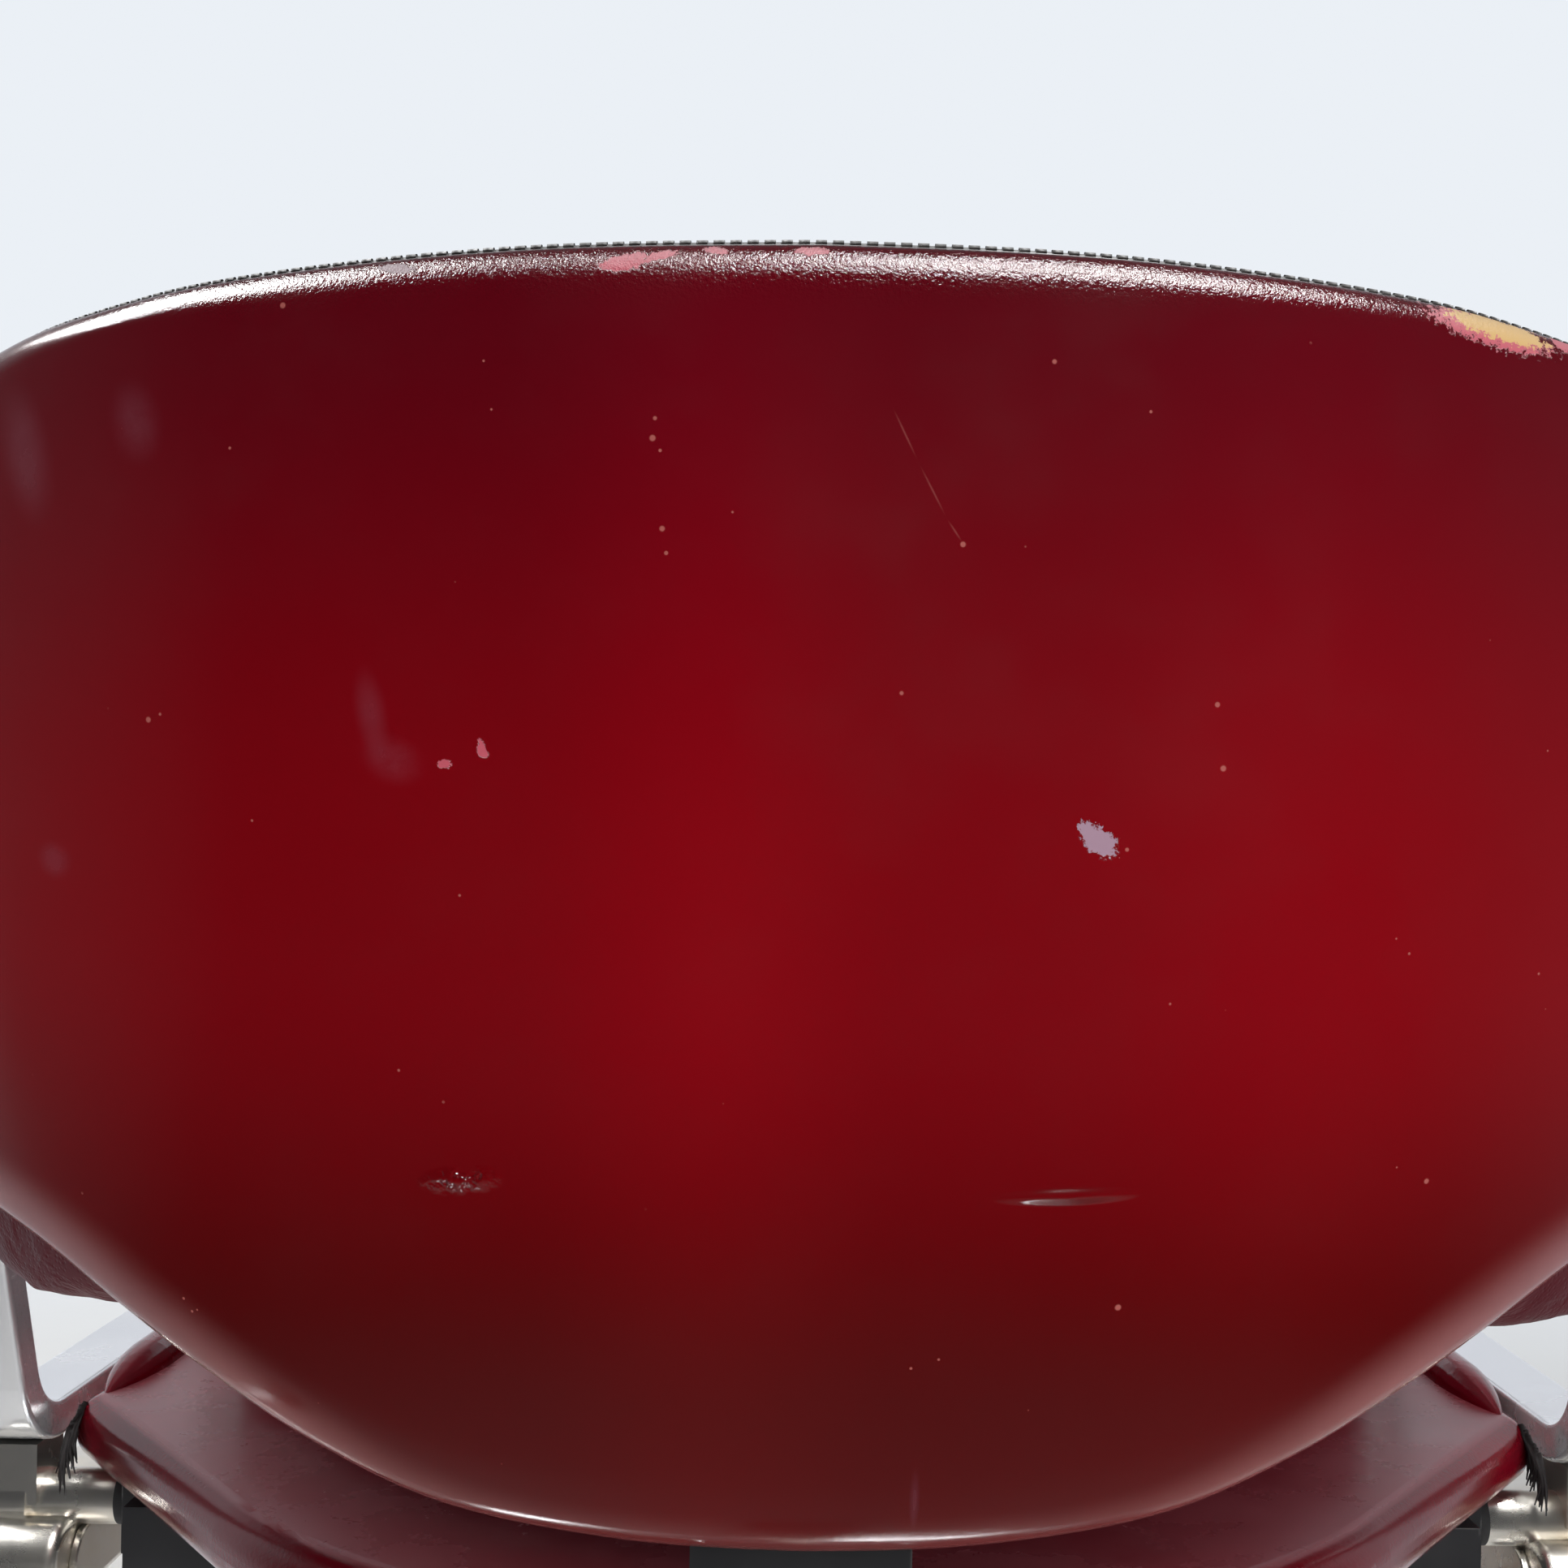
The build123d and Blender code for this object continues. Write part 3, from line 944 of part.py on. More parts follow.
with BuildPart() as leg_frame:
    for side in (-1, 1):
        with BuildSketch(leg_side.offset(side * LEG_BAR_X - LEG_BAR_T / 2)):
            with BuildLine():
                FilletPolyline((0, 0), (0, FOOT_HINGE - 10), (FOOT_REACH, FOOT_HINGE), radius=LEG_BEND)
            trace(line_width=LEG_BAR_W)
        extrude(amount=LEG_BAR_T)
        x0, x1 = side * (LEG_BAR_X - LEG_BAR_T / 2), side * leg_hub_out
        rod_x(x0, x1, LEG_PIVOT_Y, PIVOT_Z, SHAFT_R + 6)
        rod_x(x0, side * (LEG_BAR_X + LEG_BAR_T / 2), foot.Y, foot.Z, FOOT_PIN_R + 6)
    for along in LEG_CROSS:
        with BuildSketch(leg_side.offset(-LEG_BAR_X)):
            with Locations((0, along)):
                RectangleRounded(LEG_BAR_W - 6, 18, 3)
        extrude(amount=2 * LEG_BAR_X)
    rod_x(-leg_hub_out - 1, leg_hub_out + 1, LEG_PIVOT_Y, PIVOT_Z, SHAFT_R + SLIP, mode=Mode.SUBTRACT)
    rod_x(-leg_hub_out - 1, leg_hub_out + 1, foot.Y, foot.Z, FOOT_PIN_R + SLIP, mode=Mode.SUBTRACT)
write(leg_frame, "leg_frame")

with BuildPart() as leg_board:
    with BuildSketch(leg.offset(LEG_BAR_W / 2)):
        with Locations((0, -(LEG_BOARD_TOP + LEG_BOARD_BOTTOM) / 2)):
            RectangleRounded(LEG_W - 30, LEG_BOARD_BOTTOM - LEG_BOARD_TOP, 12)
    extrude(amount=LEG_BOARD_T)
write(leg_board, "leg_board")

with BuildPart() as leg_pad:
    pad_back = LEG_BAR_W / 2 + LEG_BOARD_T + SEATED
    middle = -(LEG_PAD_TOP + LEG_PAD_BOTTOM) / 2
    with BuildSketch(leg.offset(pad_back)):
        with BuildLine():
            w, d = LEG_W / 2, CUSHION_DRAW / 2
            foot_edge = ThreePointArc((-w, -LEG_PAD_BOTTOM), (0, d - LEG_PAD_BOTTOM), (w, -LEG_PAD_BOTTOM))
            flank = ThreePointArc(foot_edge @ 1, (w - d, middle), (w, -LEG_PAD_TOP))
            head_edge = ThreePointArc(flank @ 1, (0, -LEG_PAD_TOP - d), (-w, -LEG_PAD_TOP))
            ThreePointArc(head_edge @ 1, (d - w, middle), foot_edge @ 0)
        make_face()
    extrude(amount=LEG_PAD_T)
    with Locations(leg.offset(pad_back + LEG_PAD_T - LEG_CROWN_R).location * Location((0, middle, 0))):
        Sphere(LEG_CROWN_R, mode=Mode.INTERSECT)
    fillet(leg_pad.edges().filter_by(lambda e: abs((e @ 1 - e @ 0).dot(forward)) > LEG_PAD_T / 2), radius=24)
    fillet(leg_pad.faces().sort_by(leg_normal)[-1].edges(), radius=14)
    fillet(leg_pad.faces().sort_by(leg_normal)[0].edges(), radius=8)
write(leg_pad, "leg_pad")

with BuildPart() as foot_pin:
    rod_x(-LEG_BAR_X - LEG_BAR_T, LEG_BAR_X + LEG_BAR_T, foot.Y, foot.Z, FOOT_PIN_R)
    chamfer(foot_pin.edges().filter_by(GeomType.CIRCLE), length=1)
write(foot_pin, "foot_pin")

plate_y1 = foot.Y - FOOT_PIN_R - 8
knuckle = (LEG_BAR_X - LEG_BAR_T / 2 - SEATED - KNUCKLE_W, LEG_BAR_X - LEG_BAR_T / 2 - SEATED)
with BuildPart() as foot_plate:
    with BuildSketch(Plane.XY.offset(foot.Z - FOOT_T / 2)):
        with Locations((0, plate_y1 - FOOT_DEPTH / 2)):
            RectangleRounded(FOOT_W, FOOT_DEPTH, 16)
    extrude(amount=FOOT_T)
    for side in (-1, 1):
        x0, x1 = side * knuckle[0], side * knuckle[1]
        box(x0, x1, plate_y1 - 2, foot.Y, foot.Z - FOOT_T / 2, foot.Z + FOOT_T / 2)
        rod_x(x0, x1, foot.Y, foot.Z, FOOT_PIN_R + 4)
    rod_x(-FOOT_W / 2, FOOT_W / 2, foot.Y, foot.Z, FOOT_PIN_R + RUN, mode=Mode.SUBTRACT)
write(foot_plate, "foot_plate")

with BuildPart() as foot_tread:
    tread_y = plate_y1 - FOOT_DEPTH / 2
    with BuildSketch(Plane.XY.offset(foot.Z + FOOT_T / 2)):
        with Locations((0, tread_y)):
            RectangleRounded(FOOT_W - 16, FOOT_DEPTH - 16, 10)
    extrude(amount=TREAD_T)
    with Locations((0, tread_y, foot.Z + FOOT_T / 2 + TREAD_T)):
        with GridLocations(1, 12, 1, 9):
            Box(FOOT_W - 40, 4, 3, mode=Mode.SUBTRACT)
write(foot_tread, "foot_tread")
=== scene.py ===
"""Looks of the hydraulic barber chair: finishes, upholstery, welts, wear, studio light and camera.

Metres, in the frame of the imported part: +Z up, the front of the chair faces -Y, +X is the sitter's left.
"""
import json
import math

import bpy
from mathutils import Matrix, Vector, noise
from mathutils.bvhtree import BVHTree
from mathutils.kdtree import KDTree


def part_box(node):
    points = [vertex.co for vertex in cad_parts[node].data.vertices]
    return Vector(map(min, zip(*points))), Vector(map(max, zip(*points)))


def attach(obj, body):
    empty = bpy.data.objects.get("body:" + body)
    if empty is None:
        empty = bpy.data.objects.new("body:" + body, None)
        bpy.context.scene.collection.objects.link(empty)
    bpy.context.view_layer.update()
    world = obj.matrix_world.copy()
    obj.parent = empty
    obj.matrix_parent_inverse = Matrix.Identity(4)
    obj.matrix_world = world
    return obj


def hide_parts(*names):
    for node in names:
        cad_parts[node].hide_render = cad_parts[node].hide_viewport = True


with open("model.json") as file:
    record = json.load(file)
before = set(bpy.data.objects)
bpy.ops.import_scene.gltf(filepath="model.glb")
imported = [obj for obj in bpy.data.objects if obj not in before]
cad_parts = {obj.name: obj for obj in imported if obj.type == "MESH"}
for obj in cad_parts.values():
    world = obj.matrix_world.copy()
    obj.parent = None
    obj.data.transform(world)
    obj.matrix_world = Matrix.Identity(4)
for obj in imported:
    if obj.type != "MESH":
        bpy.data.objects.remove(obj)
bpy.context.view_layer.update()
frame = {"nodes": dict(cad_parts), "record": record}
nodes = frame["nodes"]
scene = bpy.context.scene

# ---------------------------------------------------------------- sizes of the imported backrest
LEAN = math.radians(8)          # backrest at rest
SHELL_R = 0.380                 # outer radius round the sitter
SHELL_BULGE = 0.014             # how far the skin stands out half way up
SHELL_T = 0.009
SHELL_W = 0.264                 # half the width
SHELL_H = 0.324
TONGUE = Vector((0, 0.279, 0.476))      # middle of the shell's lower edge
UP = Vector((0, math.sin(LEAN), math.cos(LEAN)))
IN = Vector((0, -math.cos(LEAN), math.sin(LEAN)))
X, Y, Z = Vector((1, 0, 0)), Vector((0, 1, 0)), Vector((0, 0, 1))

# ---------------------------------------------------------------- sizes of the visible pieces
RIM_R = 0.0085                  # rounding of the shell's outer rim
RIM_STEPS = 8
CURL_W = 0.024                  # the lower edge curls towards the sitter over this width
CURL_D = 0.0055
INNER_EDGE = ((0.0006, SHELL_T - 0.0002), (0.0015, SHELL_T))    # inset and depth of the inner edge's rings

VOXEL, VOXEL_QUICK = 0.0055, 0.009
PRESSURE = 4.0                  # of the cloth simulation that swells the cushions
CLOTH_STEPS = 20

WELT_SIDES = 10
WELT_STEP = 0.006               # between the points of a welt's path
WELT_R = 0.0036                 # round the tops of the seat and the back
LOWER_WELT_R = 0.0032           # under the seat, and round the leg pad
ARM_WELT_R = 0.0018
BACK_WELT_IN = 0.010            # from the shell's outline
BACK_WELT_DEPTH = 0.075         # from the shell's outer face, near the front of the back cushion
CAST_OUT = 0.6                  # rays that look for a cushion's side start this far out

BINDING_R = 0.0017
BINDING_FROM = 0.10             # the bound rear seam shows above this height of the shell
BINDING_IN = 0.0002
BINDING_DEPTH = 0.0125
STITCH_STEP, STITCH_LENGTH, STITCH_R = 0.0040, 0.0026, 0.0008
STITCH_UP, STITCH_OUT = 0.0014, 0.0006  # from the middle of the binding
FINE_SIDES = 6                  # of a stitch or a strand of the corner tufts

TUFT_X, TUFT_Y, TUFT_Z = 0.2660, 0.058, 0.4530
TUFT_RUN, TUFT_DROP = 0.016, 0.0060     # the tuft's edge runs back and falls by this
TUFT_SEED = 1                   # without one, Blender seeds this noise from the clock
STRAND_R = 0.0010
STRAND_TAPER = 0.85


# ---------------------------------------------------------------- materials
class Nodes:
    """A node tree under construction: add() makes a node, and links or sets its inputs."""

    def __init__(self, tree):
        self.tree = tree

    def add(self, kind, inputs=None, **settings):
        node = self.tree.nodes.new(kind)
        for key, value in settings.items():
            setattr(node, key, value)
        for key, value in (inputs or {}).items():
            self.put(node.inputs[key], value)
        return node

    def put(self, socket, value):
        if isinstance(value, bpy.types.NodeSocket):
            self.tree.links.new(value, socket)
        else:
            socket.default_value = value

    def math(self, operation, a, b=0.0, clamp=False):
        node = self.add("ShaderNodeMath", operation=operation, use_clamp=clamp)
        self.put(node.inputs[0], a)
        self.put(node.inputs[1], b)
        return node.outputs[0]

    def ramp(self, fac, low, high, a=0.0, b=1.0):
        """Carries a value from low..high to a..b."""
        node = self.add("ShaderNodeMapRange", {"From Min": low, "From Max": high, "To Min": a, "To Max": b},
                        interpolation_type="SMOOTHSTEP")
        self.put(node.inputs["Value"], fac)
        return node.outputs["Result"]

    def parts(self, vector):
        """The X, Y and Z of a vector."""
        return self.add("ShaderNodeSeparateXYZ", {"Vector": vector}).outputs

    def blend(self, fac, a, b):
        return self.add("ShaderNodeMixShader", {0: fac, 1: a, 2: b}).outputs[0]


class Finish(Nodes):
    """A material under construction, on the Principled shader that a new one has."""

    def __init__(self, name):
        self.material = bpy.data.materials.new(name)
        self.material.use_nodes = True
        super().__init__(self.material.node_tree)
        self.shader = self.tree.nodes["Principled BSDF"]
        coords = self.add("ShaderNodeTexCoord")
        self.place = coords.outputs["Object"]
        self.uv = coords.outputs["UV"]

    def set(self, **inputs):
        for key, value in inputs.items():
            self.put(self.shader.inputs[key.replace("_", " ")], value)

    def noise(self, scale, detail=3.0, rough=0.5, vector=None, distortion=0.0):
        return self.add("ShaderNodeTexNoise", {
            "Vector": vector or self.place, "Scale": scale, "Detail": detail,
            "Roughness": rough, "Distortion": distortion}).outputs["Fac"]

    def cells(self, scale, feature="F1", vector=None, smooth=None):
        node = self.add("ShaderNodeTexVoronoi", {"Vector": vector or self.place, "Scale": scale},
                        feature=feature)
        if smooth is not None:
            node.inputs["Smoothness"].default_value = smooth
        return node.outputs["Distance"]

    def stretch(self, factors, vector=None):
        return self.add("ShaderNodeMapping", {"Vector": vector or self.place, "Scale": factors}).outputs[0]

    def mix(self, fac, a, b):
        node = self.add("ShaderNodeMix", data_type="RGBA")
        self.put(node.inputs["Factor"], fac)
        for socket, value in ((node.inputs[6], a), (node.inputs[7], b)):
            self.put(socket, value if isinstance(value, bpy.types.NodeSocket) else (*value, 1))
        return node.outputs[2]

    def bump(self, height, distance, strength=1.0, normal=None):
        node = self.add("ShaderNodeBump", {"Height": height, "Distance": distance, "Strength": strength})
        if normal is not None:
            self.put(node.inputs["Normal"], normal)
        return node.outputs[0]

    def edges(self, radius, low=0.02, high=0.25):
        """1 along the edges, where a bevelled normal leaves the true one, and 0 elsewhere."""
        bevel = self.add("ShaderNodeBevel", {"Radius": radius}, samples=4).outputs[0]
        true = self.add("ShaderNodeNewGeometry").outputs["Normal"]
        dot = self.add("ShaderNodeVectorMath", operation="DOT_PRODUCT")
        self.put(dot.inputs[0], bevel)
        self.put(dot.inputs[1], true)
        return self.ramp(self.math("SUBTRACT", 1.0, dot.outputs["Value"]), low, high)


def metal(name, colour, rough, smear, scratch=0.3, tint=None, metallic=0.95):
    """Polished or ground metal: hazy smears in its gloss, fine scratches, slight tarnish."""
    f = Finish(name)
    haze = f.noise(9.0, 5.0, 0.6)
    fine = f.noise(420.0, 2.0, 0.6, f.stretch((1.0, 6.0, 1.0)))
    lines = f.noise(160.0, 4.0, 0.8, f.stretch((0.25, 3.0, 3.0)))
    gloss = f.math("ADD", f.ramp(haze, 0.35, 0.7, rough, rough + smear), f.math("MULTIPLY", fine, 0.04))
    shade = f.mix(f.ramp(haze, 0.45, 0.8), colour, tint or tuple(c * 0.86 for c in colour))
    f.set(Base_Color=shade, Metallic=metallic, Roughness=gloss)
    f.set(Normal=f.bump(f.ramp(lines, 0.55, 0.75), 0.00004, scratch))
    return f.material


BARE_STEEL = (0.34, 0.33, 0.32)


def paint(name, colour, rough, peel=0.4):
    """Sprayed paint with orange peel, dust in the hollows and a little bare metal on the edges."""
    f = Finish(name)
    skin = f.noise(260.0, 2.0, 0.5)
    dust = f.noise(14.0, 6.0, 0.65)
    worn = f.math("MULTIPLY", f.edges(0.0012), f.ramp(f.noise(60.0, 4.0), 0.52, 0.62), True)
    base = f.mix(f.ramp(dust, 0.45, 0.8, 0.0, 0.5), colour, tuple(c * 1.6 + 0.01 for c in colour))
    f.set(Base_Color=f.mix(worn, base, BARE_STEEL), Metallic=f.math("MULTIPLY", worn, 0.9),
          Roughness=f.ramp(dust, 0.3, 0.8, rough, rough + 0.22))
    f.set(Normal=f.bump(skin, 0.00012, peel), Coat_Weight=0.15, Coat_Roughness=0.2)
    return f.material


def rubber(name, colour=(0.022, 0.022, 0.023)):
    """Matt black rubber, or dark thread, the binding and the corner tufts, with pale dust."""
    f = Finish(name)
    dust = f.noise(22.0, 6.0, 0.7)
    base = f.mix(f.ramp(dust, 0.42, 0.75, 0.0, 0.6), colour, (0.075, 0.07, 0.066))
    f.set(Base_Color=base, Roughness=f.ramp(dust, 0.3, 0.8, 0.55, 0.85), Specular_IOR_Level=0.35)
    f.set(Normal=f.bump(f.noise(900.0, 2.0), 0.0001, 0.5))
    return f.material


VINYL = (0.095, 0.004, 0.010)
WELT_VINYL = (0.060, 0.003, 0.007)


def vinyl(name, colour, creases=1.0):
    """Upholstery vinyl: pebbled grain, soft creases, and duller patches of wear."""
    f = Finish(name)
    pebble = f.cells(620.0, "SMOOTH_F1", smooth=0.4)
    pores = f.noise(1500.0, 2.0)
    folds = f.noise(26.0, 4.0, 0.6, f.stretch((1.0, 2.6, 1.4)), 1.2)
    wear = f.noise(6.0, 5.0, 0.6)
    base = f.mix(f.ramp(wear, 0.4, 0.75), colour, tuple(c * 0.55 + 0.004 for c in colour))
    base = f.mix(f.ramp(pebble, 0.0, 0.25, 0.5, 0.0), base, tuple(c * 0.45 for c in colour))
    f.set(Base_Color=base, Roughness=f.ramp(wear, 0.35, 0.7, 0.46, 0.62), Specular_IOR_Level=0.22)
    grain = f.bump(f.ramp(pebble, 0.0, 0.5), 0.00022, 0.55)
    grain = f.bump(pores, 0.00005, 0.4, grain)
    f.set(Normal=f.bump(f.ramp(folds, 0.4, 0.62), 0.0016, 0.28 * creases, grain))
    return f.material


def plywood(name):
    """The leg pad's board: pale rings with a fine fibre along X."""
    f = Finish(name)
    rings = f.add("ShaderNodeTexWave", {
        "Vector": f.stretch((1.0, 14.0, 14.0)), "Scale": 4.0, "Distortion": 6.0,
        "Detail": 3.0, "Detail Scale": 1.2}).outputs["Fac"]
    fibre = f.noise(240.0, 4.0, 0.6, f.stretch((0.1, 3.0, 3.0)))
    base = f.mix(rings, (0.40, 0.26, 0.15), (0.30, 0.18, 0.095))
    f.set(Base_Color=f.mix(f.ramp(fibre, 0.4, 0.7, 0.0, 0.5), base, (0.18, 0.10, 0.05)), Roughness=0.6)
    f.set(Normal=f.bump(fibre, 0.0002, 0.3))
    return f.material


# Wear on the back shell. Each mark starts with its place, across and up the shell.
# Chips: half width and half height, tilt, colour.
CHIPS = (
    (0.0450, 0.3192, 0.0062, 0.0020, 14, "pink"),
    (0.0370, 0.3208, 0.0040, 0.0010, 14, "pink"),
    (0.0242, 0.3222, 0.0028, 0.0011, -8, "pink"),
    (0.0020, 0.3222, 0.0040, 0.0011, 0, "pink"),
    (0.1005, 0.3190, 0.0044, 0.0013, -8, "ash"),
    (-0.1675, 0.3126, 0.0180, 0.0044, -10, "pink"),
    (-0.1700, 0.3131, 0.0145, 0.0031, -10, "gold"),
    (-0.1910, 0.3122, 0.0034, 0.0034, 0, "pink"),
    (-0.0673, 0.1879, 0.0046, 0.0030, -35, "white"),
    (-0.0640, 0.1905, 0.0016, 0.0026, 20, "white"),
    (0.0776, 0.2069, 0.0011, 0.0024, 15, "pink"),
    (0.0870, 0.2032, 0.0019, 0.0011, 0, "pink"),
)
# Specks where the lacquer has gone: radius.
DOTS = (
    (0.0375, 0.2835, 0.0006), (0.0380, 0.2790, 0.0009), (0.0362, 0.2762, 0.0005),
    (0.0355, 0.2585, 0.0008), (0.0345, 0.2530, 0.0006), (-0.0540, 0.2980, 0.0007),
    (-0.0200, 0.2220, 0.0006), (-0.0970, 0.2050, 0.0009), (-0.0950, 0.2200, 0.0008),
    (-0.0740, 0.1860, 0.0006), (0.1660, 0.2110, 0.0009), (0.1625, 0.2125, 0.0005),
    (-0.1590, 0.0980, 0.0009), (-0.0770, 0.0720, 0.0010), (0.1290, 0.3110, 0.0009),
    (-0.0335, 0.2560, 0.0008),
)
# Dull smudges: half width and half height, tilt, strength.
SMUDGES = (
    (0.1052, 0.2146, 0.0050, 0.0130, 10, 0.11),
    (0.1000, 0.2040, 0.0100, 0.0070, -20, 0.06),
    (0.1970, 0.1733, 0.0070, 0.0060, 0, 0.13),
    (0.2055, 0.2776, 0.0100, 0.0220, 15, 0.12),
    (0.1701, 0.2845, 0.0090, 0.0130, 20, 0.07),
    (-0.0281, 0.0209, 0.0016, 0.0110, 0, 0.10),
)
# Where the mounting plate's screws push the skin out: half width and half height, tilt, ragged or crisp.
RIDGES = (
    (-0.0630, 0.1016, 0.0200, 0.0026, 0, False),
    (0.0843, 0.1020, 0.0130, 0.0042, 8, True),
)
# One scratch, from point to point.
SCRATCH = ((-0.0166, 0.2871), (-0.0229, 0.2744), (-0.0297, 0.2617), (-0.0335, 0.2562))
SCRATCH_HALF_WIDTH = 0.00035
CHIP_COLOURS = {"pink": (0.62, 0.10, 0.14), "gold": (0.74, 0.45, 0.14), "white": (0.42, 0.26, 0.34),
                "ash": (0.28, 0.15, 0.18)}
SMUDGE_COLOUR = (0.36, 0.12, 0.19)
SPECK_COLOUR = (0.52, 0.14, 0.12)
SCRATCH_COLOUR = (0.42, 0.10, 0.09)

# The lacquer: colour in the middle, and with painted shade towards the top and at the foot, the heights
# between which one turns into the next, and soft upright bands of painted sheen, where it is brighter (place
# across, half width, strength).
MAROON = (0.290, 0.0005, 0.0052)
MAROON_SHADED_TOP = (0.138, 0.0005, 0.0068)
MAROON_SHADED_FOOT = (0.108, 0.0004, 0.0008)
TOP_SHADE_HEIGHTS = (0.33, 0.18)
FOOT_SHADE_HEIGHTS = (0.155, 0.04)
DEPTH_OF_COLOUR = 0.80
SHEEN_BANDS = ((0.024, 0.050, 0.17), (-0.120, 0.065, 0.11))
RIM_GRAIN_HEIGHTS = (0.307, 0.321)      # the lacquer is grainy over the rim

# Painted reflection of the floor, with some dust, along the lower edge: its colour, its width over the
# middle, and how much wider it gets at the flanks.
EDGE_SHEEN_AND_DUST = (0.31, 0.095, 0.092)
EDGE_SHEEN_WIDTH = 0.016
EDGE_SHEEN_WIDER = 0.013


def spot(f, coords, u, v, half_u, half_v, tilt, ragged=0.0):
    """A mask on the plan: 1 inside a tilted ellipse that has a ragged edge, or a soft spot without one."""
    turn = f.add("ShaderNodeMapping", {"Vector": coords, "Location": (-u, -v, 0)})
    spin = f.add("ShaderNodeMapping", {"Vector": turn.outputs[0], "Rotation": (0, 0, math.radians(tilt))})
    size = f.add("ShaderNodeMapping", {"Vector": spin.outputs[0], "Scale": (1 / half_u, 1 / half_v, 0)})
    length = f.add("ShaderNodeVectorMath", {0: size.outputs[0]}, operation="LENGTH").outputs["Value"]
    if ragged:
        return f.ramp(f.math("ADD", length, ragged), 1.06, 0.94)
    return f.ramp(length, 1.0, 0.1)


def upright_band(f, across, middle, half_width, strength):
    away = f.math("ABSOLUTE", f.math("SUBTRACT", across, middle))
    return f.ramp(away, half_width, 0.0, 0.0, strength)


def shell_gloss(name):
    """The maroon shell: lacquer with painted shade and sheen, chips at the rim, scratches, smudges, dust
    specks, painted edge reflection.
    """
    f = Finish(name)
    plan = f.uv
    jag = f.math("MULTIPLY", f.math("SUBTRACT", f.noise(560.0, 5.0, 0.75, plan), 0.5), 2.4)
    cloud = f.noise(5.0, 3.0, 0.5, plan)
    place = f.parts(plan)
    across, height = place["X"], place["Y"]
    # Painted shade: the lacquer darkens towards the top and at the foot of the shell.
    body = f.math("MULTIPLY", f.ramp(height, *TOP_SHADE_HEIGHTS), f.ramp(cloud, 0.3, 0.7, 0.88, 1.0))
    base = f.mix(body, MAROON_SHADED_TOP, MAROON)
    base = f.mix(f.ramp(height, *FOOT_SHADE_HEIGHTS), base, MAROON_SHADED_FOOT)
    # Painted sheen: two soft upright bands brighten the lacquer.
    first, second = (upright_band(f, across, *band) for band in SHEEN_BANDS)
    base = f.mix(f.math("ADD", DEPTH_OF_COLOUR, f.math("ADD", first, second)), (0, 0, 0), base)
    # Painted reflection of the floor, with some dust, pales the lacquer along the lower edge.
    edge = f.parts(f.add("ShaderNodeUVMap", uv_map="edge").outputs[0])["X"]
    wider = f.ramp(f.math("ABSOLUTE", across), 0.06, 0.20, 0.0, EDGE_SHEEN_WIDER)
    edge_sheen = f.math("MULTIPLY", f.ramp(f.math("SUBTRACT", edge, wider), EDGE_SHEEN_WIDTH, -0.004),
                  f.ramp(f.noise(11.0, 5.0, 0.6, plan), 0.3, 0.7, 0.55, 0.85))
    base = f.mix(edge_sheen, base, EDGE_SHEEN_AND_DUST)
    rough = f.ramp(f.noise(18.0, 5.0, 0.6, plan), 0.35, 0.75, 0.13, 0.22)
    for u, v, half_u, half_v, tilt, strength in SMUDGES:
        haze = f.math("MULTIPLY", spot(f, plan, u, v, half_u, half_v, tilt),
                      f.ramp(f.noise(160.0, 5.0, 0.75, plan), 0.4, 0.65, 0.1, strength))
        base = f.mix(haze, base, SMUDGE_COLOUR)
        rough = f.math("ADD", rough, haze)
    specks = f.ramp(f.cells(130.0, vector=plan), 0.060, 0.035)
    rare = f.ramp(f.noise(44.0, 1.0, 0.5, plan), 0.58, 0.64)
    marks = f.math("MULTIPLY", specks, rare)
    for u, v, radius in DOTS:
        away = f.add("ShaderNodeVectorMath", {0: plan, 1: (u, v, 0)}, operation="DISTANCE").outputs["Value"]
        marks = f.math("MAXIMUM", marks, f.ramp(away, radius, radius * 0.5))
    base = f.mix(f.math("MULTIPLY", marks, 0.8), base, SPECK_COLOUR)
    cut = None
    for u, v, half_u, half_v, tilt, kind in CHIPS:
        mask = spot(f, plan, u, v, half_u, half_v, tilt, jag)
        base = f.mix(mask, base, CHIP_COLOURS[kind])
        cut = mask if cut is None else f.math("MAXIMUM", cut, mask)
    for p, q in zip(SCRATCH, SCRATCH[1:]):
        tilt = -math.degrees(math.atan2(q[1] - p[1], q[0] - p[0]))
        line = spot(f, plan, (p[0] + q[0]) / 2, (p[1] + q[1]) / 2, math.dist(p, q) / 2,
                    SCRATCH_HALF_WIDTH, tilt)
        base = f.mix(f.math("MULTIPLY", line, 0.35), base, SCRATCH_COLOUR)
    rough = f.math("ADD", rough, f.math("MULTIPLY", cut, 0.45))
    f.set(Base_Color=base, Roughness=rough, Specular_IOR_Level=0.20)
    wave = f.bump(f.noise(7.0, 2.0, 0.4, plan), 0.0022, 0.22)
    rim = f.ramp(height, *RIM_GRAIN_HEIGHTS, 0.05, 1.0)
    peel = f.bump(f.math("MULTIPLY", f.noise(800.0, 3.0, 0.7, plan), rim), 0.00075, 0.7, wave)
    for u, v, half_u, half_v, tilt, ragged in RIDGES:
        ridge = spot(f, plan, u, v, half_u, half_v, tilt)
        if ragged:
            ridge = f.math("MULTIPLY", ridge, f.ramp(f.noise(150.0, 3.0, 0.6, plan), 0.35, 0.6))
        peel = f.bump(ridge, 0.0016, 1.0, peel)
    f.set(Normal=f.bump(f.math("SUBTRACT", 1.0, cut), 0.0005, 0.6, peel))
    return f.material


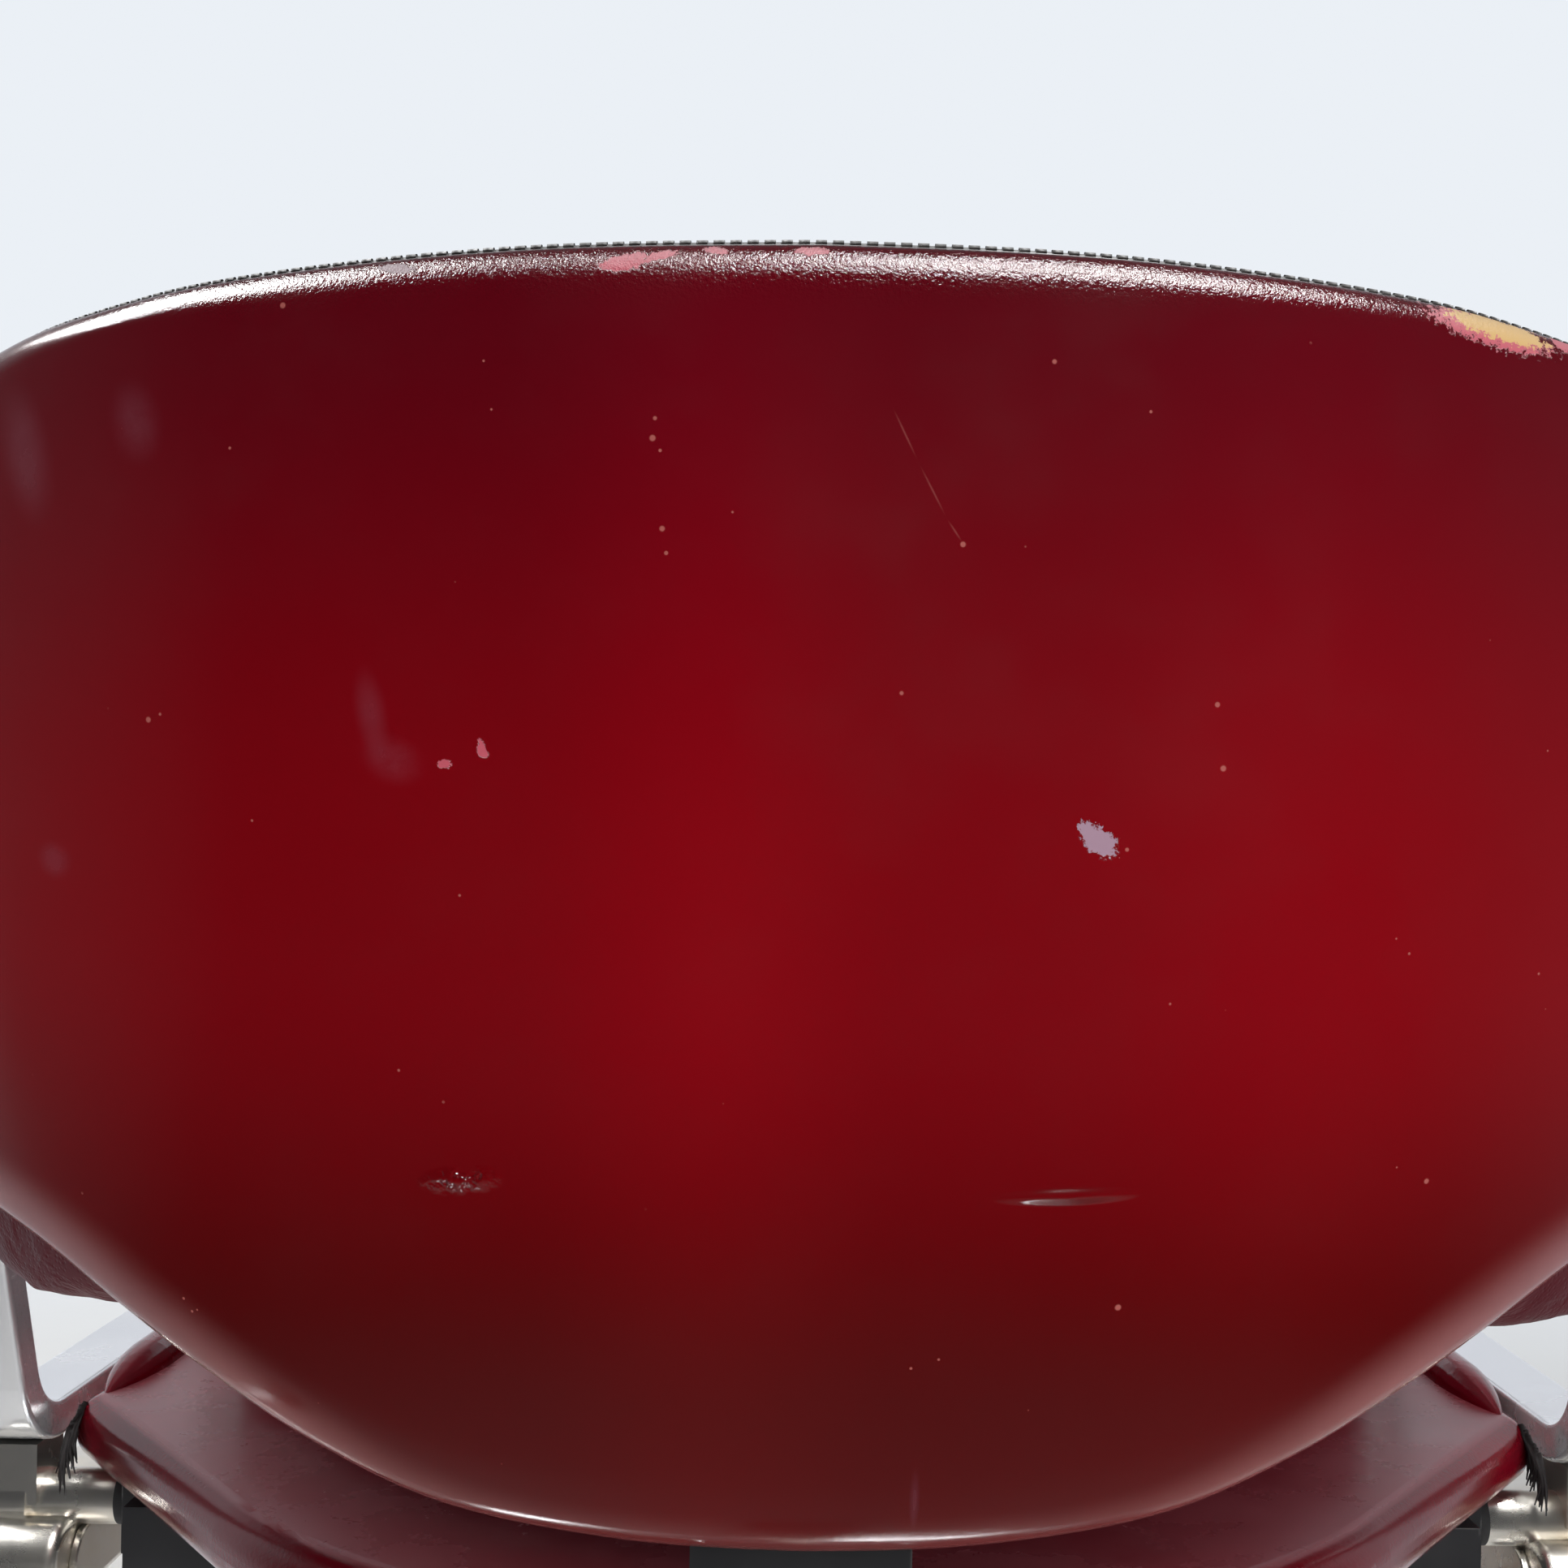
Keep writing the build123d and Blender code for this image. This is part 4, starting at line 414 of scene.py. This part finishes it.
def deck_gloss(name):
    """The seat shell: the same lacquer, dulled by dust on the deck, whose pink is partly a painted
    reflection, and polished on its rolled edge.
    """
    f = Finish(name)
    dust = f.noise(16.0, 6.0, 0.65)
    flat = f.ramp(f.parts(f.add("ShaderNodeNewGeometry").outputs["Normal"])["Z"], 0.9, 0.995)
    dust_and_sheen = f.math("MULTIPLY", flat, f.ramp(dust, 0.3, 0.7, 0.55, 1.0))
    base = f.mix(f.ramp(f.noise(8.0, 3.0), 0.35, 0.7), (0.15, 0.0012, 0.0075), (0.09, 0.0010, 0.005))
    # Pink on the flat, upward-facing deck: dust, and painted reflection of the shell and wall.
    f.set(Base_Color=f.mix(f.math("MULTIPLY", dust_and_sheen, 0.8), base, (0.28, 0.052, 0.066)))
    f.set(Roughness=f.ramp(dust_and_sheen, 0.0, 1.0, 0.10, 0.30), Specular_IOR_Level=0.34)
    grain = f.math("MULTIPLY", f.noise(620.0, 3.0, 0.7), f.math("SUBTRACT", 1.0, flat))
    f.set(Normal=f.bump(grain, 0.0002, 0.4))
    return f.material


def moulded(name, colour, rough):
    """Moulded plastic or pressed fibre, slightly mottled."""
    f = Finish(name)
    paler = tuple(c * 1.7 + 0.004 for c in colour)
    f.set(Base_Color=f.mix(f.ramp(f.noise(30.0, 4.0), 0.4, 0.7), colour, paler))
    f.set(Roughness=f.ramp(f.noise(50.0, 5.0), 0.3, 0.8, rough, rough + 0.2))
    f.set(Normal=f.bump(f.noise(300.0, 2.0), 0.00006, 0.3))
    return f.material


finishes = {
    "polished_steel": metal("polished_steel", (0.83, 0.84, 0.86), 0.15, 0.16, 0.25, metallic=0.7),
    "base_steel": metal("base_steel", (0.74, 0.75, 0.77), 0.11, 0.16, 0.5),
    "cast_metal": metal("cast_metal", (0.78, 0.75, 0.69), 0.17, 0.2, 0.35, (0.70, 0.60, 0.46)),
    "rubber_black": rubber("rubber_black"),
    "frame_paint": paint("frame_paint", (0.020, 0.020, 0.022), 0.30),
    "pump_iron": paint("pump_iron", (0.035, 0.036, 0.038), 0.42, 0.8),
    "ground_steel": metal("ground_steel", (0.62, 0.62, 0.63), 0.16, 0.14, 0.5),
    "fastener_steel": metal("fastener_steel", (0.58, 0.57, 0.55), 0.24, 0.2, 0.4),
    "bush_bronze": metal("bush_bronze", (0.72, 0.50, 0.22), 0.22, 0.2, 0.4),
    "shell_maroon": deck_gloss("shell_maroon"),
    "vinyl_oxblood": vinyl("vinyl_oxblood", VINYL),
    "board_wood": plywood("board_wood"),
    "brake_fibre": moulded("brake_fibre", (0.10, 0.085, 0.07), 0.7),
    "knob_black": moulded("knob_black", (0.012, 0.012, 0.012), 0.16),
}
for entry in frame["record"]["subparts"]:
    mesh = nodes[entry["node"]].data
    mesh.materials.clear()
    mesh.materials.append(finishes[entry["material_slot"]])


# ---------------------------------------------------------------- mesh helpers
def new_piece(name, vertices, faces, material, body):
    mesh = bpy.data.meshes.new(name)
    mesh.from_pydata([tuple(v) for v in vertices], [], faces)
    mesh.validate()
    mesh.update()
    mesh.shade_smooth()
    piece = bpy.data.objects.new(name, mesh)
    scene.collection.objects.link(piece)
    mesh.materials.append(material)
    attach(piece, body)
    return piece


def tube(path, radius, sides, closed):
    """Vertices and faces of a round cord along a path of points."""
    count = len(path)
    rings = []
    normal = None
    for i, point in enumerate(path):
        before = path[i - 1] if closed or i else path[i]
        after = path[(i + 1) % count] if closed or i < count - 1 else path[i]
        along = (after - before).normalized()
        if normal is None:
            normal = along.orthogonal().normalized()
        normal = (normal - along * normal.dot(along)).normalized()
        side = along.cross(normal)
        rings.append([point + (normal * math.cos(a) + side * math.sin(a)) * radius
                      for a in (math.tau * k / sides for k in range(sides))])
    vertices = [p for ring in rings for p in ring]
    faces = []
    for i in range(count if closed else count - 1):
        j = (i + 1) % count
        for k in range(sides):
            n = (k + 1) % sides
            faces.append((i * sides + k, j * sides + k, j * sides + n, i * sides + n))
    if not closed:
        faces.append(tuple(range(sides))[::-1])
        faces.append(tuple((count - 1) * sides + k for k in range(sides)))
    return vertices, faces


def add_mesh(vertices, faces, more_vertices, more_faces):
    """Puts a second mesh behind the first one."""
    first = len(vertices)
    faces.extend(tuple(k + first for k in face) for face in more_faces)
    vertices.extend(more_vertices)


def smooth_path(points, steps):
    """A Catmull-Rom curve through the points, the same number of steps to each span."""
    padded = [points[0] * 2 - points[1], *points, points[-1] * 2 - points[-2]]
    path = []
    for p0, p1, p2, p3 in zip(padded, padded[1:], padded[2:], padded[3:]):
        for k in range(steps):
            t = k / steps
            path.append(0.5 * (2 * p1 + (p2 - p0) * t + (2 * p0 - 5 * p1 + 4 * p2 - p3) * t * t
                               + (3 * p1 - p0 - 3 * p2 + p3) * t ** 3))
    path.append(points[-1].copy())
    return path


def running_lengths(points):
    """The length of a line of points up to each of them."""
    lengths = [0.0]
    for a, b in zip(points, points[1:]):
        lengths.append(lengths[-1] + (b - a).length)
    return lengths


def spread(points, count):
    """The line through the points, cut into a number of even steps."""
    lengths = running_lengths(points)
    result, k = [], 0
    for i in range(count + 1):
        target = lengths[-1] * i / count
        while k < len(points) - 2 and lengths[k + 1] < target:
            k += 1
        span = lengths[k + 1] - lengths[k] or 1.0
        result.append(points[k].lerp(points[k + 1], (target - lengths[k]) / span))
    return result


def even(path, step, closed=True):
    """The same path with points about a step apart."""
    points = path + path[:1] if closed else path
    count = max(8, round(running_lengths(points)[-1] / step))
    points = spread(points, count)
    return points[:-1] if closed else points


def calm(path, rounds):
    """The same closed path with its small kinks evened out."""
    for _ in range(rounds):
        path = [(before + p * 2 + after) / 4
                for before, p, after in zip(path[-1:] + path[:-1], path, path[1:] + path[:1])]
    return path


# ---------------------------------------------------------------- back shell
def bulge(v):
    """How far the shell's skin stands out at a height."""
    return SHELL_BULGE * 4 * (v / SHELL_H) * (1 - v / SHELL_H)


def on_shell(x, v, depth):
    """A place on the backrest: across, up the lean, and inwards from the shell's outer face."""
    radius = SHELL_R + bulge(v) - depth
    return TONGUE + Vector((x, 0, 0)) + UP * v + IN * (SHELL_R - math.sqrt(radius ** 2 - x ** 2))


def half_outline():
    """The +X half of the shell's outline: along the bottom, up the flank, and back over the top."""
    w, h = SHELL_W, SHELL_H
    bottom = [(0, 0), (0.18 * w, 0.0012), (0.36 * w, 0.0065), (0.50 * w, 0.019), (0.62 * w, 0.034),
              (0.80 * w, 0.057), (0.93 * w, 0.069)]
    corner = [(w - 0.0045, 0.081), (w - 0.0006, 0.096)]
    flank = [(w, 0.115), (w, 0.200)]
    shoulder = [(w - 0.003, 0.240), (w - 0.011, 0.273), (w - 0.026, 0.297), (0.81 * w, 0.3082)]
    top = [(0.68 * w, 0.3150), (0.55 * w, 0.3192), (0.28 * w, 0.3234), (0, h + 0.0006)]
    return [Vector(p) for p in bottom + corner + flank + shoulder + top], len(bottom + corner), len(flank)


def mirrored(line):
    return [Vector((-p.x, p.y)) for p in line]


def shell_sides(half_columns=75, rows=80, steps=14):
    """The shell's outline as four lines of points that meet at the flanks' ends."""
    points, low_count, flank_count = half_outline()
    path = smooth_path(points, steps)
    low_end, high_start = low_count * steps, (low_count + flank_count - 1) * steps
    low = spread(path[:low_end + 1], half_columns)
    flank = spread(path[low_end:high_start + 1], rows)
    high = spread(path[high_start:], half_columns)
    bottom = mirrored(low)[::-1] + low[1:]
    top = high + mirrored(high)[::-1][1:]
    return bottom, flank, top, mirrored(flank)[::-1]


def inset_loop(loop, distance):
    """The outline moved inwards by a distance."""
    count = len(loop)
    moved = []
    for i, p in enumerate(loop):
        along = (loop[(i + 1) % count] - loop[i - 1]).normalized()
        moved.append(p + Vector((-along.y, along.x)) * distance)
    return moved


def distance_to(p, line, tree):
    """Distance from a point of the plan to a line of points; the tree holds the same points."""
    k = max(tree.find((p.x, p.y, 0))[1], 1)
    best = math.inf
    for a, b in zip(line[k - 1:k + 1], line[k:k + 2]):
        way = b - a
        t = min(max((p - a).dot(way) / way.length_squared, 0), 1)
        best = min(best, (a + way * t - p).length)
    return best


def join_rings(first, second):
    """Faces between two closed rings of vertex numbers."""
    return [(a, b, d, c) for a, b, c, d in zip(first, first[1:] + first[:1], second, second[1:] + second[:1])]


def build_shell():
    """The moulded shell: an outer and an inner skin as grids, joined by rings over the rounded rim."""
    bottom, flank, top, far_flank = shell_sides()
    nx, nv = len(bottom), len(flank)
    loop = bottom[:-1] + flank[:-1] + top[:-1] + far_flank[:-1]
    count = len(loop)
    profile = [(RIM_R * (1 - math.sin(a)), RIM_R * (1 - math.cos(a))) for a in
               (math.pi / 2 * k / RIM_STEPS for k in range(RIM_STEPS + 1))]
    profile.extend(INNER_EDGE)
    inner = inset_loop(loop, profile[0][0])
    low_side = inner[:nx]
    near_side = inner[nx - 1:nx - 1 + nv]
    top_side = inner[nx + nv - 2:nx + nv - 2 + nx][::-1]
    far_side = (inner[2 * nx + nv - 3:] + inner[:1])[::-1]
    vertices, plans, edges, faces = [], [], [], []
    tree = KDTree(nx)
    for k, p in enumerate(bottom):
        tree.insert((p.x, p.y, 0), k)
    tree.balance()

    def put(p, depth):
        edge = distance_to(p, bottom, tree)
        curl = CURL_D * max(1 - edge / CURL_W, 0) ** 2
        vertices.append(on_shell(p.x, p.y, depth + curl))
        plans.append((p.x, p.y))
        edges.append((edge, 0))

    for depth in (0.0, SHELL_T):
        for j in range(nv):
            t = j / (nv - 1)
            for i in range(nx):
                s = i / (nx - 1)
                edge = low_side[i] * (1 - t) + top_side[i] * t + far_side[j] * (1 - s) + near_side[j] * s
                corners = (low_side[0] * (1 - s) + low_side[-1] * s) * (1 - t) \
                    + (top_side[0] * (1 - s) + top_side[-1] * s) * t
                put(edge - corners, depth)
    skin = nx * nv
    for j in range(nv - 1):
        for i in range(nx - 1):
            a, b, c, d = j * nx + i, j * nx + i + 1, (j + 1) * nx + i + 1, (j + 1) * nx + i
            faces.append((a, d, c, b))
            faces.append((skin + a, skin + b, skin + c, skin + d))
    border = list(range(nx - 1)) + [j * nx + nx - 1 for j in range(nv - 1)] \
        + [(nv - 1) * nx + i for i in range(nx - 1, 0, -1)] + [j * nx for j in range(nv - 1, 0, -1)]
    previous = border
    for inset, depth in profile[1:]:
        start = len(vertices)
        for p in inset_loop(loop, inset):
            put(p, max(depth, 1e-6))
        ring = list(range(start, start + count))
        faces += join_rings(previous, ring)
        previous = ring
    faces += join_rings(previous, [skin + i for i in border])
    shell = new_piece("shell_moulding", vertices, faces, shell_gloss("shell_lacquer"),
                      "backrest")
    for name, places in (("plan", plans), ("edge", edges)):
        layer = shell.data.uv_layers.new(name=name)
        for corner in shell.data.loops:
            layer.data[corner.index].uv = places[corner.vertex_index]
    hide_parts("back_shell")


build_shell()


# ---------------------------------------------------------------- upholstery
def apply_modifier(piece, modifier):
    evaluated = piece.evaluated_get(bpy.context.evaluated_depsgraph_get())
    mesh = bpy.data.meshes.new_from_object(evaluated)
    old = piece.data
    piece.data = mesh
    piece.modifiers.remove(modifier)
    bpy.data.meshes.remove(old)


def padded_copy(node, name, shrink, cap):
    """The cushion's own mesh: remeshed, then swollen by a cloth simulation with its travel capped."""
    low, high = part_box(node)
    middle = (low + high) / 2
    mesh = nodes[node].data.copy()
    mesh.name = name
    piece = bpy.data.objects.new(name, mesh)
    scene.collection.objects.link(piece)
    for v in mesh.vertices:
        v.co = middle + (v.co - middle) * shrink
    bpy.context.view_layer.objects.active = piece
    remesh = piece.modifiers.new("voxels", "REMESH")
    remesh.mode = "VOXEL"
    remesh.voxel_size = VOXEL
    apply_modifier(piece, remesh)
    relax = piece.modifiers.new("relax", "SMOOTH")
    relax.iterations = 6
    relax.factor = 0.5
    apply_modifier(piece, relax)
    start = [v.co.copy() for v in piece.data.vertices]
    cloth = piece.modifiers.new("cloth", "CLOTH")
    cloth.settings.use_pressure = True
    cloth.settings.uniform_pressure_force = PRESSURE
    cloth.settings.effector_weights.gravity = 0.0
    cloth.settings.quality = 5
    cloth.point_cache.frame_end = CLOTH_STEPS
    for step in range(1, CLOTH_STEPS + 1):
        scene.frame_set(step)
    apply_modifier(piece, cloth)
    scene.frame_set(1)
    for v, home in zip(piece.data.vertices, start):
        move = v.co - home
        if move.length > cap:
            v.co = home + move * (cap / move.length)
    return piece


def finish_cushion(piece, node, body, material):
    subdivide = piece.modifiers.new("smooth", "SUBSURF")
    subdivide.levels = subdivide.render_levels = 1
    piece.data.materials.clear()
    piece.data.materials.append(material)
    piece.data.shade_smooth()
    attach(piece, body)
    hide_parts(node)
    return piece


# Solid, piece, body, scale before it is swollen, the most that a point may travel, how full it is.
CUSHIONS = (
    ("seat_cushion", "seat_upholstery", "seat", 0.985, 0.008, 0.8),
    ("back_cushion", "back_upholstery", "backrest", 0.985, 0.006, 0.8),
    ("leg_pad", "leg_upholstery", "leg_rest", 0.975, 0.006, 0.8),
    ("arm_pad_left", "arm_upholstery_left", "seat", 0.97, 0.003, 0.9),
    ("arm_pad_right", "arm_upholstery_right", "seat", 0.97, 0.003, 0.9),
)
cushion_vinyl = finishes["vinyl_oxblood"]
welt_vinyl = vinyl("welt_vinyl", WELT_VINYL, 0.3)
thread = rubber("thread", (0.020, 0.014, 0.012))
binding = rubber("binding", (0.014, 0.008, 0.009))
cushions = {}
for node, name, body, shrink, cap, fill in CUSHIONS:
    cushions[node] = finish_cushion(padded_copy(node, name, shrink, cap), node, body, cushion_vinyl)


def skin_of(piece):
    return BVHTree.FromObject(piece, bpy.context.evaluated_depsgraph_get())


def shoulder_path(tree, middle, across, along, up, level, reach, count=240):
    """The edge of a cushion's face: its outline at a level along up, moved to its nearest shoulder point.

    The search for that point starts a reach outwards and a reach up from the outline.
    """
    path = []
    for i in range(count):
        angle = math.tau * i / count
        way = across * math.cos(angle) + along * math.sin(angle)
        hit = tree.ray_cast(middle + up * level + way * CAST_OUT, -way, CAST_OUT)[0]
        if hit is not None:
            path.append(tree.find_nearest(hit + way * reach + up * reach)[0])
    return calm(even(path, WELT_STEP), 4)


def welt(name, path, radius, body, closed=True, material=welt_vinyl):
    """A cord sewn into a seam, along a path."""
    vertices, faces = tube(path, radius, WELT_SIDES, closed)
    piece = new_piece(name, vertices, faces, material, body)


def stitches(name, path, body):
    """Short raised threads along an open path."""
    points = even(path, STITCH_STEP, False)
    vertices, faces = [], []
    for a, b in zip(points, points[1:]):
        way = (b - a).normalized() * STITCH_LENGTH / 2
        middle = (a + b) / 2
        add_mesh(vertices, faces, *tube([middle - way, middle, middle + way], STITCH_R, FINE_SIDES, False))
    new_piece(name, vertices, faces, thread, body)


seat_skin = skin_of(cushions["seat_cushion"])
seat_low, seat_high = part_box("seat_cushion")
seat_middle = Vector((0, (seat_low.y + seat_high.y) / 2, 0))
seat_edge = shoulder_path(seat_skin, seat_middle, X, Y, Z, seat_high.z - 0.030, 0.022)
welt("seat_welt", seat_edge, WELT_R, "seat")
base_edge = shoulder_path(seat_skin, seat_middle, X, Y, -Z, -(seat_low.z + 0.022), 0.012)
welt("seat_lower_welt", base_edge, LOWER_WELT_R, "seat")

for side in ("left", "right"):
    pad = cushions["arm_pad_" + side]
    low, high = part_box("arm_pad_" + side)
    middle = Vector(((low.x + high.x) / 2, (low.y + high.y) / 2, 0))
    edge = shoulder_path(skin_of(pad), middle, X, Y, -Z, -(low.z + 0.007), 0.004, 160)
    welt("arm_welt_" + side, edge, ARM_WELT_R, "seat")

leg_skin = skin_of(cushions["leg_pad"])
leg_low, leg_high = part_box("leg_pad")
leg_middle = (leg_low + leg_high) / 2
board_low, board_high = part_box("leg_board")
leg_tilt = math.atan2(board_high.y - board_low.y, board_high.z - board_low.z)
leg_along = Vector((0, math.sin(leg_tilt), math.cos(leg_tilt)))
leg_up = Vector((0, -math.cos(leg_tilt), math.sin(leg_tilt)))
leg_edge = shoulder_path(leg_skin, leg_middle, X, leg_along, leg_up, 0.006, 0.014)
welt("leg_welt", leg_edge, LOWER_WELT_R, "leg_rest")

back_skin = skin_of(cushions["back_cushion"])
half_path = smooth_path(half_outline()[0], 8)
whole_path = mirrored(half_path[::-1]) + half_path[1:-1]
front_ring = [back_skin.find_nearest(on_shell(p.x, p.y, BACK_WELT_DEPTH))[0]
              for p in inset_loop(whole_path, BACK_WELT_IN)]
welt("back_welt", calm(even(front_ring, WELT_STEP), 6), WELT_R, "backrest")

# The cover's bound rear seam runs round inside the shell's rim and just shows above it.
rear_seam = [p for p in inset_loop(whole_path, BINDING_IN) if p.y > BINDING_FROM]
rear_seam = sorted(rear_seam, key=lambda p: math.atan2(p.x, p.y - BINDING_FROM))
rear_path = even([on_shell(p.x, p.y, BINDING_DEPTH) for p in rear_seam], STITCH_STEP, False)
welt("rear_welt", rear_path, BINDING_R, "backrest", False, binding)
stitches("rear_stitches", [p + UP * STITCH_UP - IN * STITCH_OUT for p in rear_path], "backrest")


def shade_tuft(name, side, strands=26):
    """Frayed black strands in the gap between the seat's rear corner and the arm: partly felt, partly painted
    shade.
    """
    vertices, faces = [], []
    for k in range(strands):
        stray = noise.noise_vector(Vector((k * 7.31, side * 3.7, 0.5)))
        top = Vector((side * (TUFT_X + 0.0012 * stray.x), TUFT_Y + TUFT_RUN * k / strands,
                      TUFT_Z - TUFT_DROP * k / strands))
        fall = 0.012 + 0.013 * abs(stray.y) + 0.006 * k / strands
        middle = top + Vector((side * 0.0016, 0.003, -fall * 0.5))
        end = top + Vector((side * (0.0010 + 0.0040 * stray.z), 0.004 + 0.005 * stray.x, -fall))
        path = smooth_path([top, middle, end], 4)
        skin, skin_faces = tube(path, STRAND_R, FINE_SIDES, False)
        for i, p in enumerate(path):
            for j in range(FINE_SIDES * i, FINE_SIDES * (i + 1)):
                skin[j] = p + (skin[j] - p) * (1.0 - STRAND_TAPER * i / len(path))
        add_mesh(vertices, faces, skin, skin_faces)
    new_piece(name, vertices, faces, binding, "seat")


# The corner tufts are dark strands put into the shaded gap at the seat's rear corners: partly felt, partly
# painted shade.
noise.seed_set(TUFT_SEED)
shade_tuft("corner_shade_tuft_left", 1)
shade_tuft("corner_shade_tuft_right", -1)


# ---------------------------------------------------------------- camera
LENS = 42.857                   # on a sensor 36 wide, which sees about 46 degrees
SHIFT_X, SHIFT_Y = -0.0176, 0.0590
CAMERA_AT = (0, 0.750, 0.6518)
CAMERA_ROLL = math.radians(0.9)

camera_data = bpy.data.cameras.new("camera")
camera_data.sensor_width = 36
camera_data.lens = LENS
camera_data.shift_x = SHIFT_X
camera_data.shift_y = SHIFT_Y
camera_data.clip_start = 0.01
camera = bpy.data.objects.new("camera", camera_data)
scene.collection.objects.link(camera)
right = Vector((-math.cos(CAMERA_ROLL), 0, math.sin(CAMERA_ROLL)))
turn = Matrix((right, Y.cross(right), Y)).transposed()
camera.matrix_world = Matrix.Translation(CAMERA_AT) @ turn.to_4x4()
scene.camera = camera


# ---------------------------------------------------------------- floor, world and lamps
FLOOR_DARK, FLOOR_PALE = (0.66, 0.64, 0.60), (0.74, 0.72, 0.69)
FLOOR_END = (0.9, 3.4)          # the floor fades out between these distances from the chair, to the eye
FLOOR_END_MIRRORED = (0.55, 1.15)       # and between these in polished things
BACKGROUND = (0.83, 0.87, 0.92, 1)
AMBIENT, AMBIENT_STRENGTH = (0.84, 0.87, 0.94, 1), 0.38
ROOM = (0.90, 0.93, 1.0, 1)     # colour of the room that polished things show

# Name, place, aim, size, watts, and the kind of ray that passes the lamp by.
LAMPS = (
    ("softbox", (-1.55, 2.60, 1.45), (0, 0.3, 0.62), (4.4, 2.6), 64, "glossy"),
    ("ahead", (0.9, -2.4, 2.3), (0, 0, 0.5), (2.0, 1.6), 55, "glossy"),
    ("rim_light", (-0.52, 0.90, 2.60), (-0.05, 0.3, 0.8), (1.3, 0.6), 330, "diffuse"),
    ("shoulder_light", (1.75, -0.15, 2.55), (0.15, 0.3, 0.8), (1.0, 1.0), 200, "diffuse"),
)


def stage_floor():
    """A pale floor that fades into the background, and ends nearer in polished things."""
    bpy.ops.mesh.primitive_plane_add(size=30, location=(0, 0, -0.0005))
    floor = bpy.context.object
    floor.name = "floor"
    f = Finish("floor")
    f.set(Base_Color=f.mix(f.noise(3.0, 5.0), FLOOR_DARK, FLOOR_PALE), Roughness=0.75)
    reach = f.add("ShaderNodeVectorMath", {0: f.place}, operation="LENGTH").outputs["Value"]
    ray = f.add("ShaderNodeLightPath").outputs
    mirrored_away = f.math("MULTIPLY", f.ramp(reach, *FLOOR_END_MIRRORED, 0.0, 0.92), ray["Is Glossy Ray"])
    faded_away = f.math("MULTIPLY", f.ramp(reach, *FLOOR_END), ray["Is Camera Ray"])
    clear = f.add("ShaderNodeBsdfTransparent").outputs[0]
    both = f.blend(f.math("ADD", mirrored_away, faded_away), f.shader.outputs[0], clear)
    f.put(f.tree.nodes["Material Output"].inputs["Surface"], both)
    floor.data.materials.append(f.material)


def stage_world():
    """Pale to the eye; polished things show a pale wall ahead, a dim ceiling and sides, and a dark room."""
    world = bpy.data.worlds.new("studio")
    scene.world = world
    world.use_nodes = True
    world.node_tree.nodes.clear()
    w = Nodes(world.node_tree)

    def light(colour, strength):
        return w.add("ShaderNodeBackground", {0: colour, 1: strength}).outputs[0]

    way = w.parts(w.add("ShaderNodeTexCoord").outputs["Generated"])
    lower_wall = w.ramp(way["Z"], 0.62, 0.38, 0.12, 1.0)
    wall = w.math("MULTIPLY", w.ramp(way["Y"], 0.08, -0.35, 0.05, 0.80), lower_wall)
    ceiling = w.ramp(way["Z"], 0.45, 0.85, 0.0, 0.14)
    sides = w.ramp(w.math("ABSOLUTE", way["X"]), 0.80, 0.99, 0.0, 0.22)
    room = w.math("MAXIMUM", wall, w.math("MAXIMUM", ceiling, sides))
    ray = w.add("ShaderNodeLightPath").outputs
    seen = w.math("MAXIMUM", ray["Is Camera Ray"], ray["Is Transmission Ray"])
    unseen = w.blend(ray["Is Glossy Ray"], light(AMBIENT, AMBIENT_STRENGTH), light(ROOM, room))
    w.add("ShaderNodeOutputWorld", {0: w.blend(seen, unseen, light(BACKGROUND, 1.0))})


def lamp(name, place, aim, size, power, passed_by):
    data = bpy.data.lights.new(name, "AREA")
    data.shape = "RECTANGLE"
    data.size, data.size_y = size
    data.energy = power
    light = bpy.data.objects.new(name, data)
    scene.collection.objects.link(light)
    light.location = place
    light.rotation_euler = (Vector(aim) - Vector(place)).to_track_quat("-Z", "Y").to_euler()
    if passed_by == "glossy":
        light.visible_glossy = False
    else:
        light.visible_diffuse = False


stage_floor()
stage_world()
for row in LAMPS:
    lamp(*row)
scene.view_settings.view_transform = "Standard"
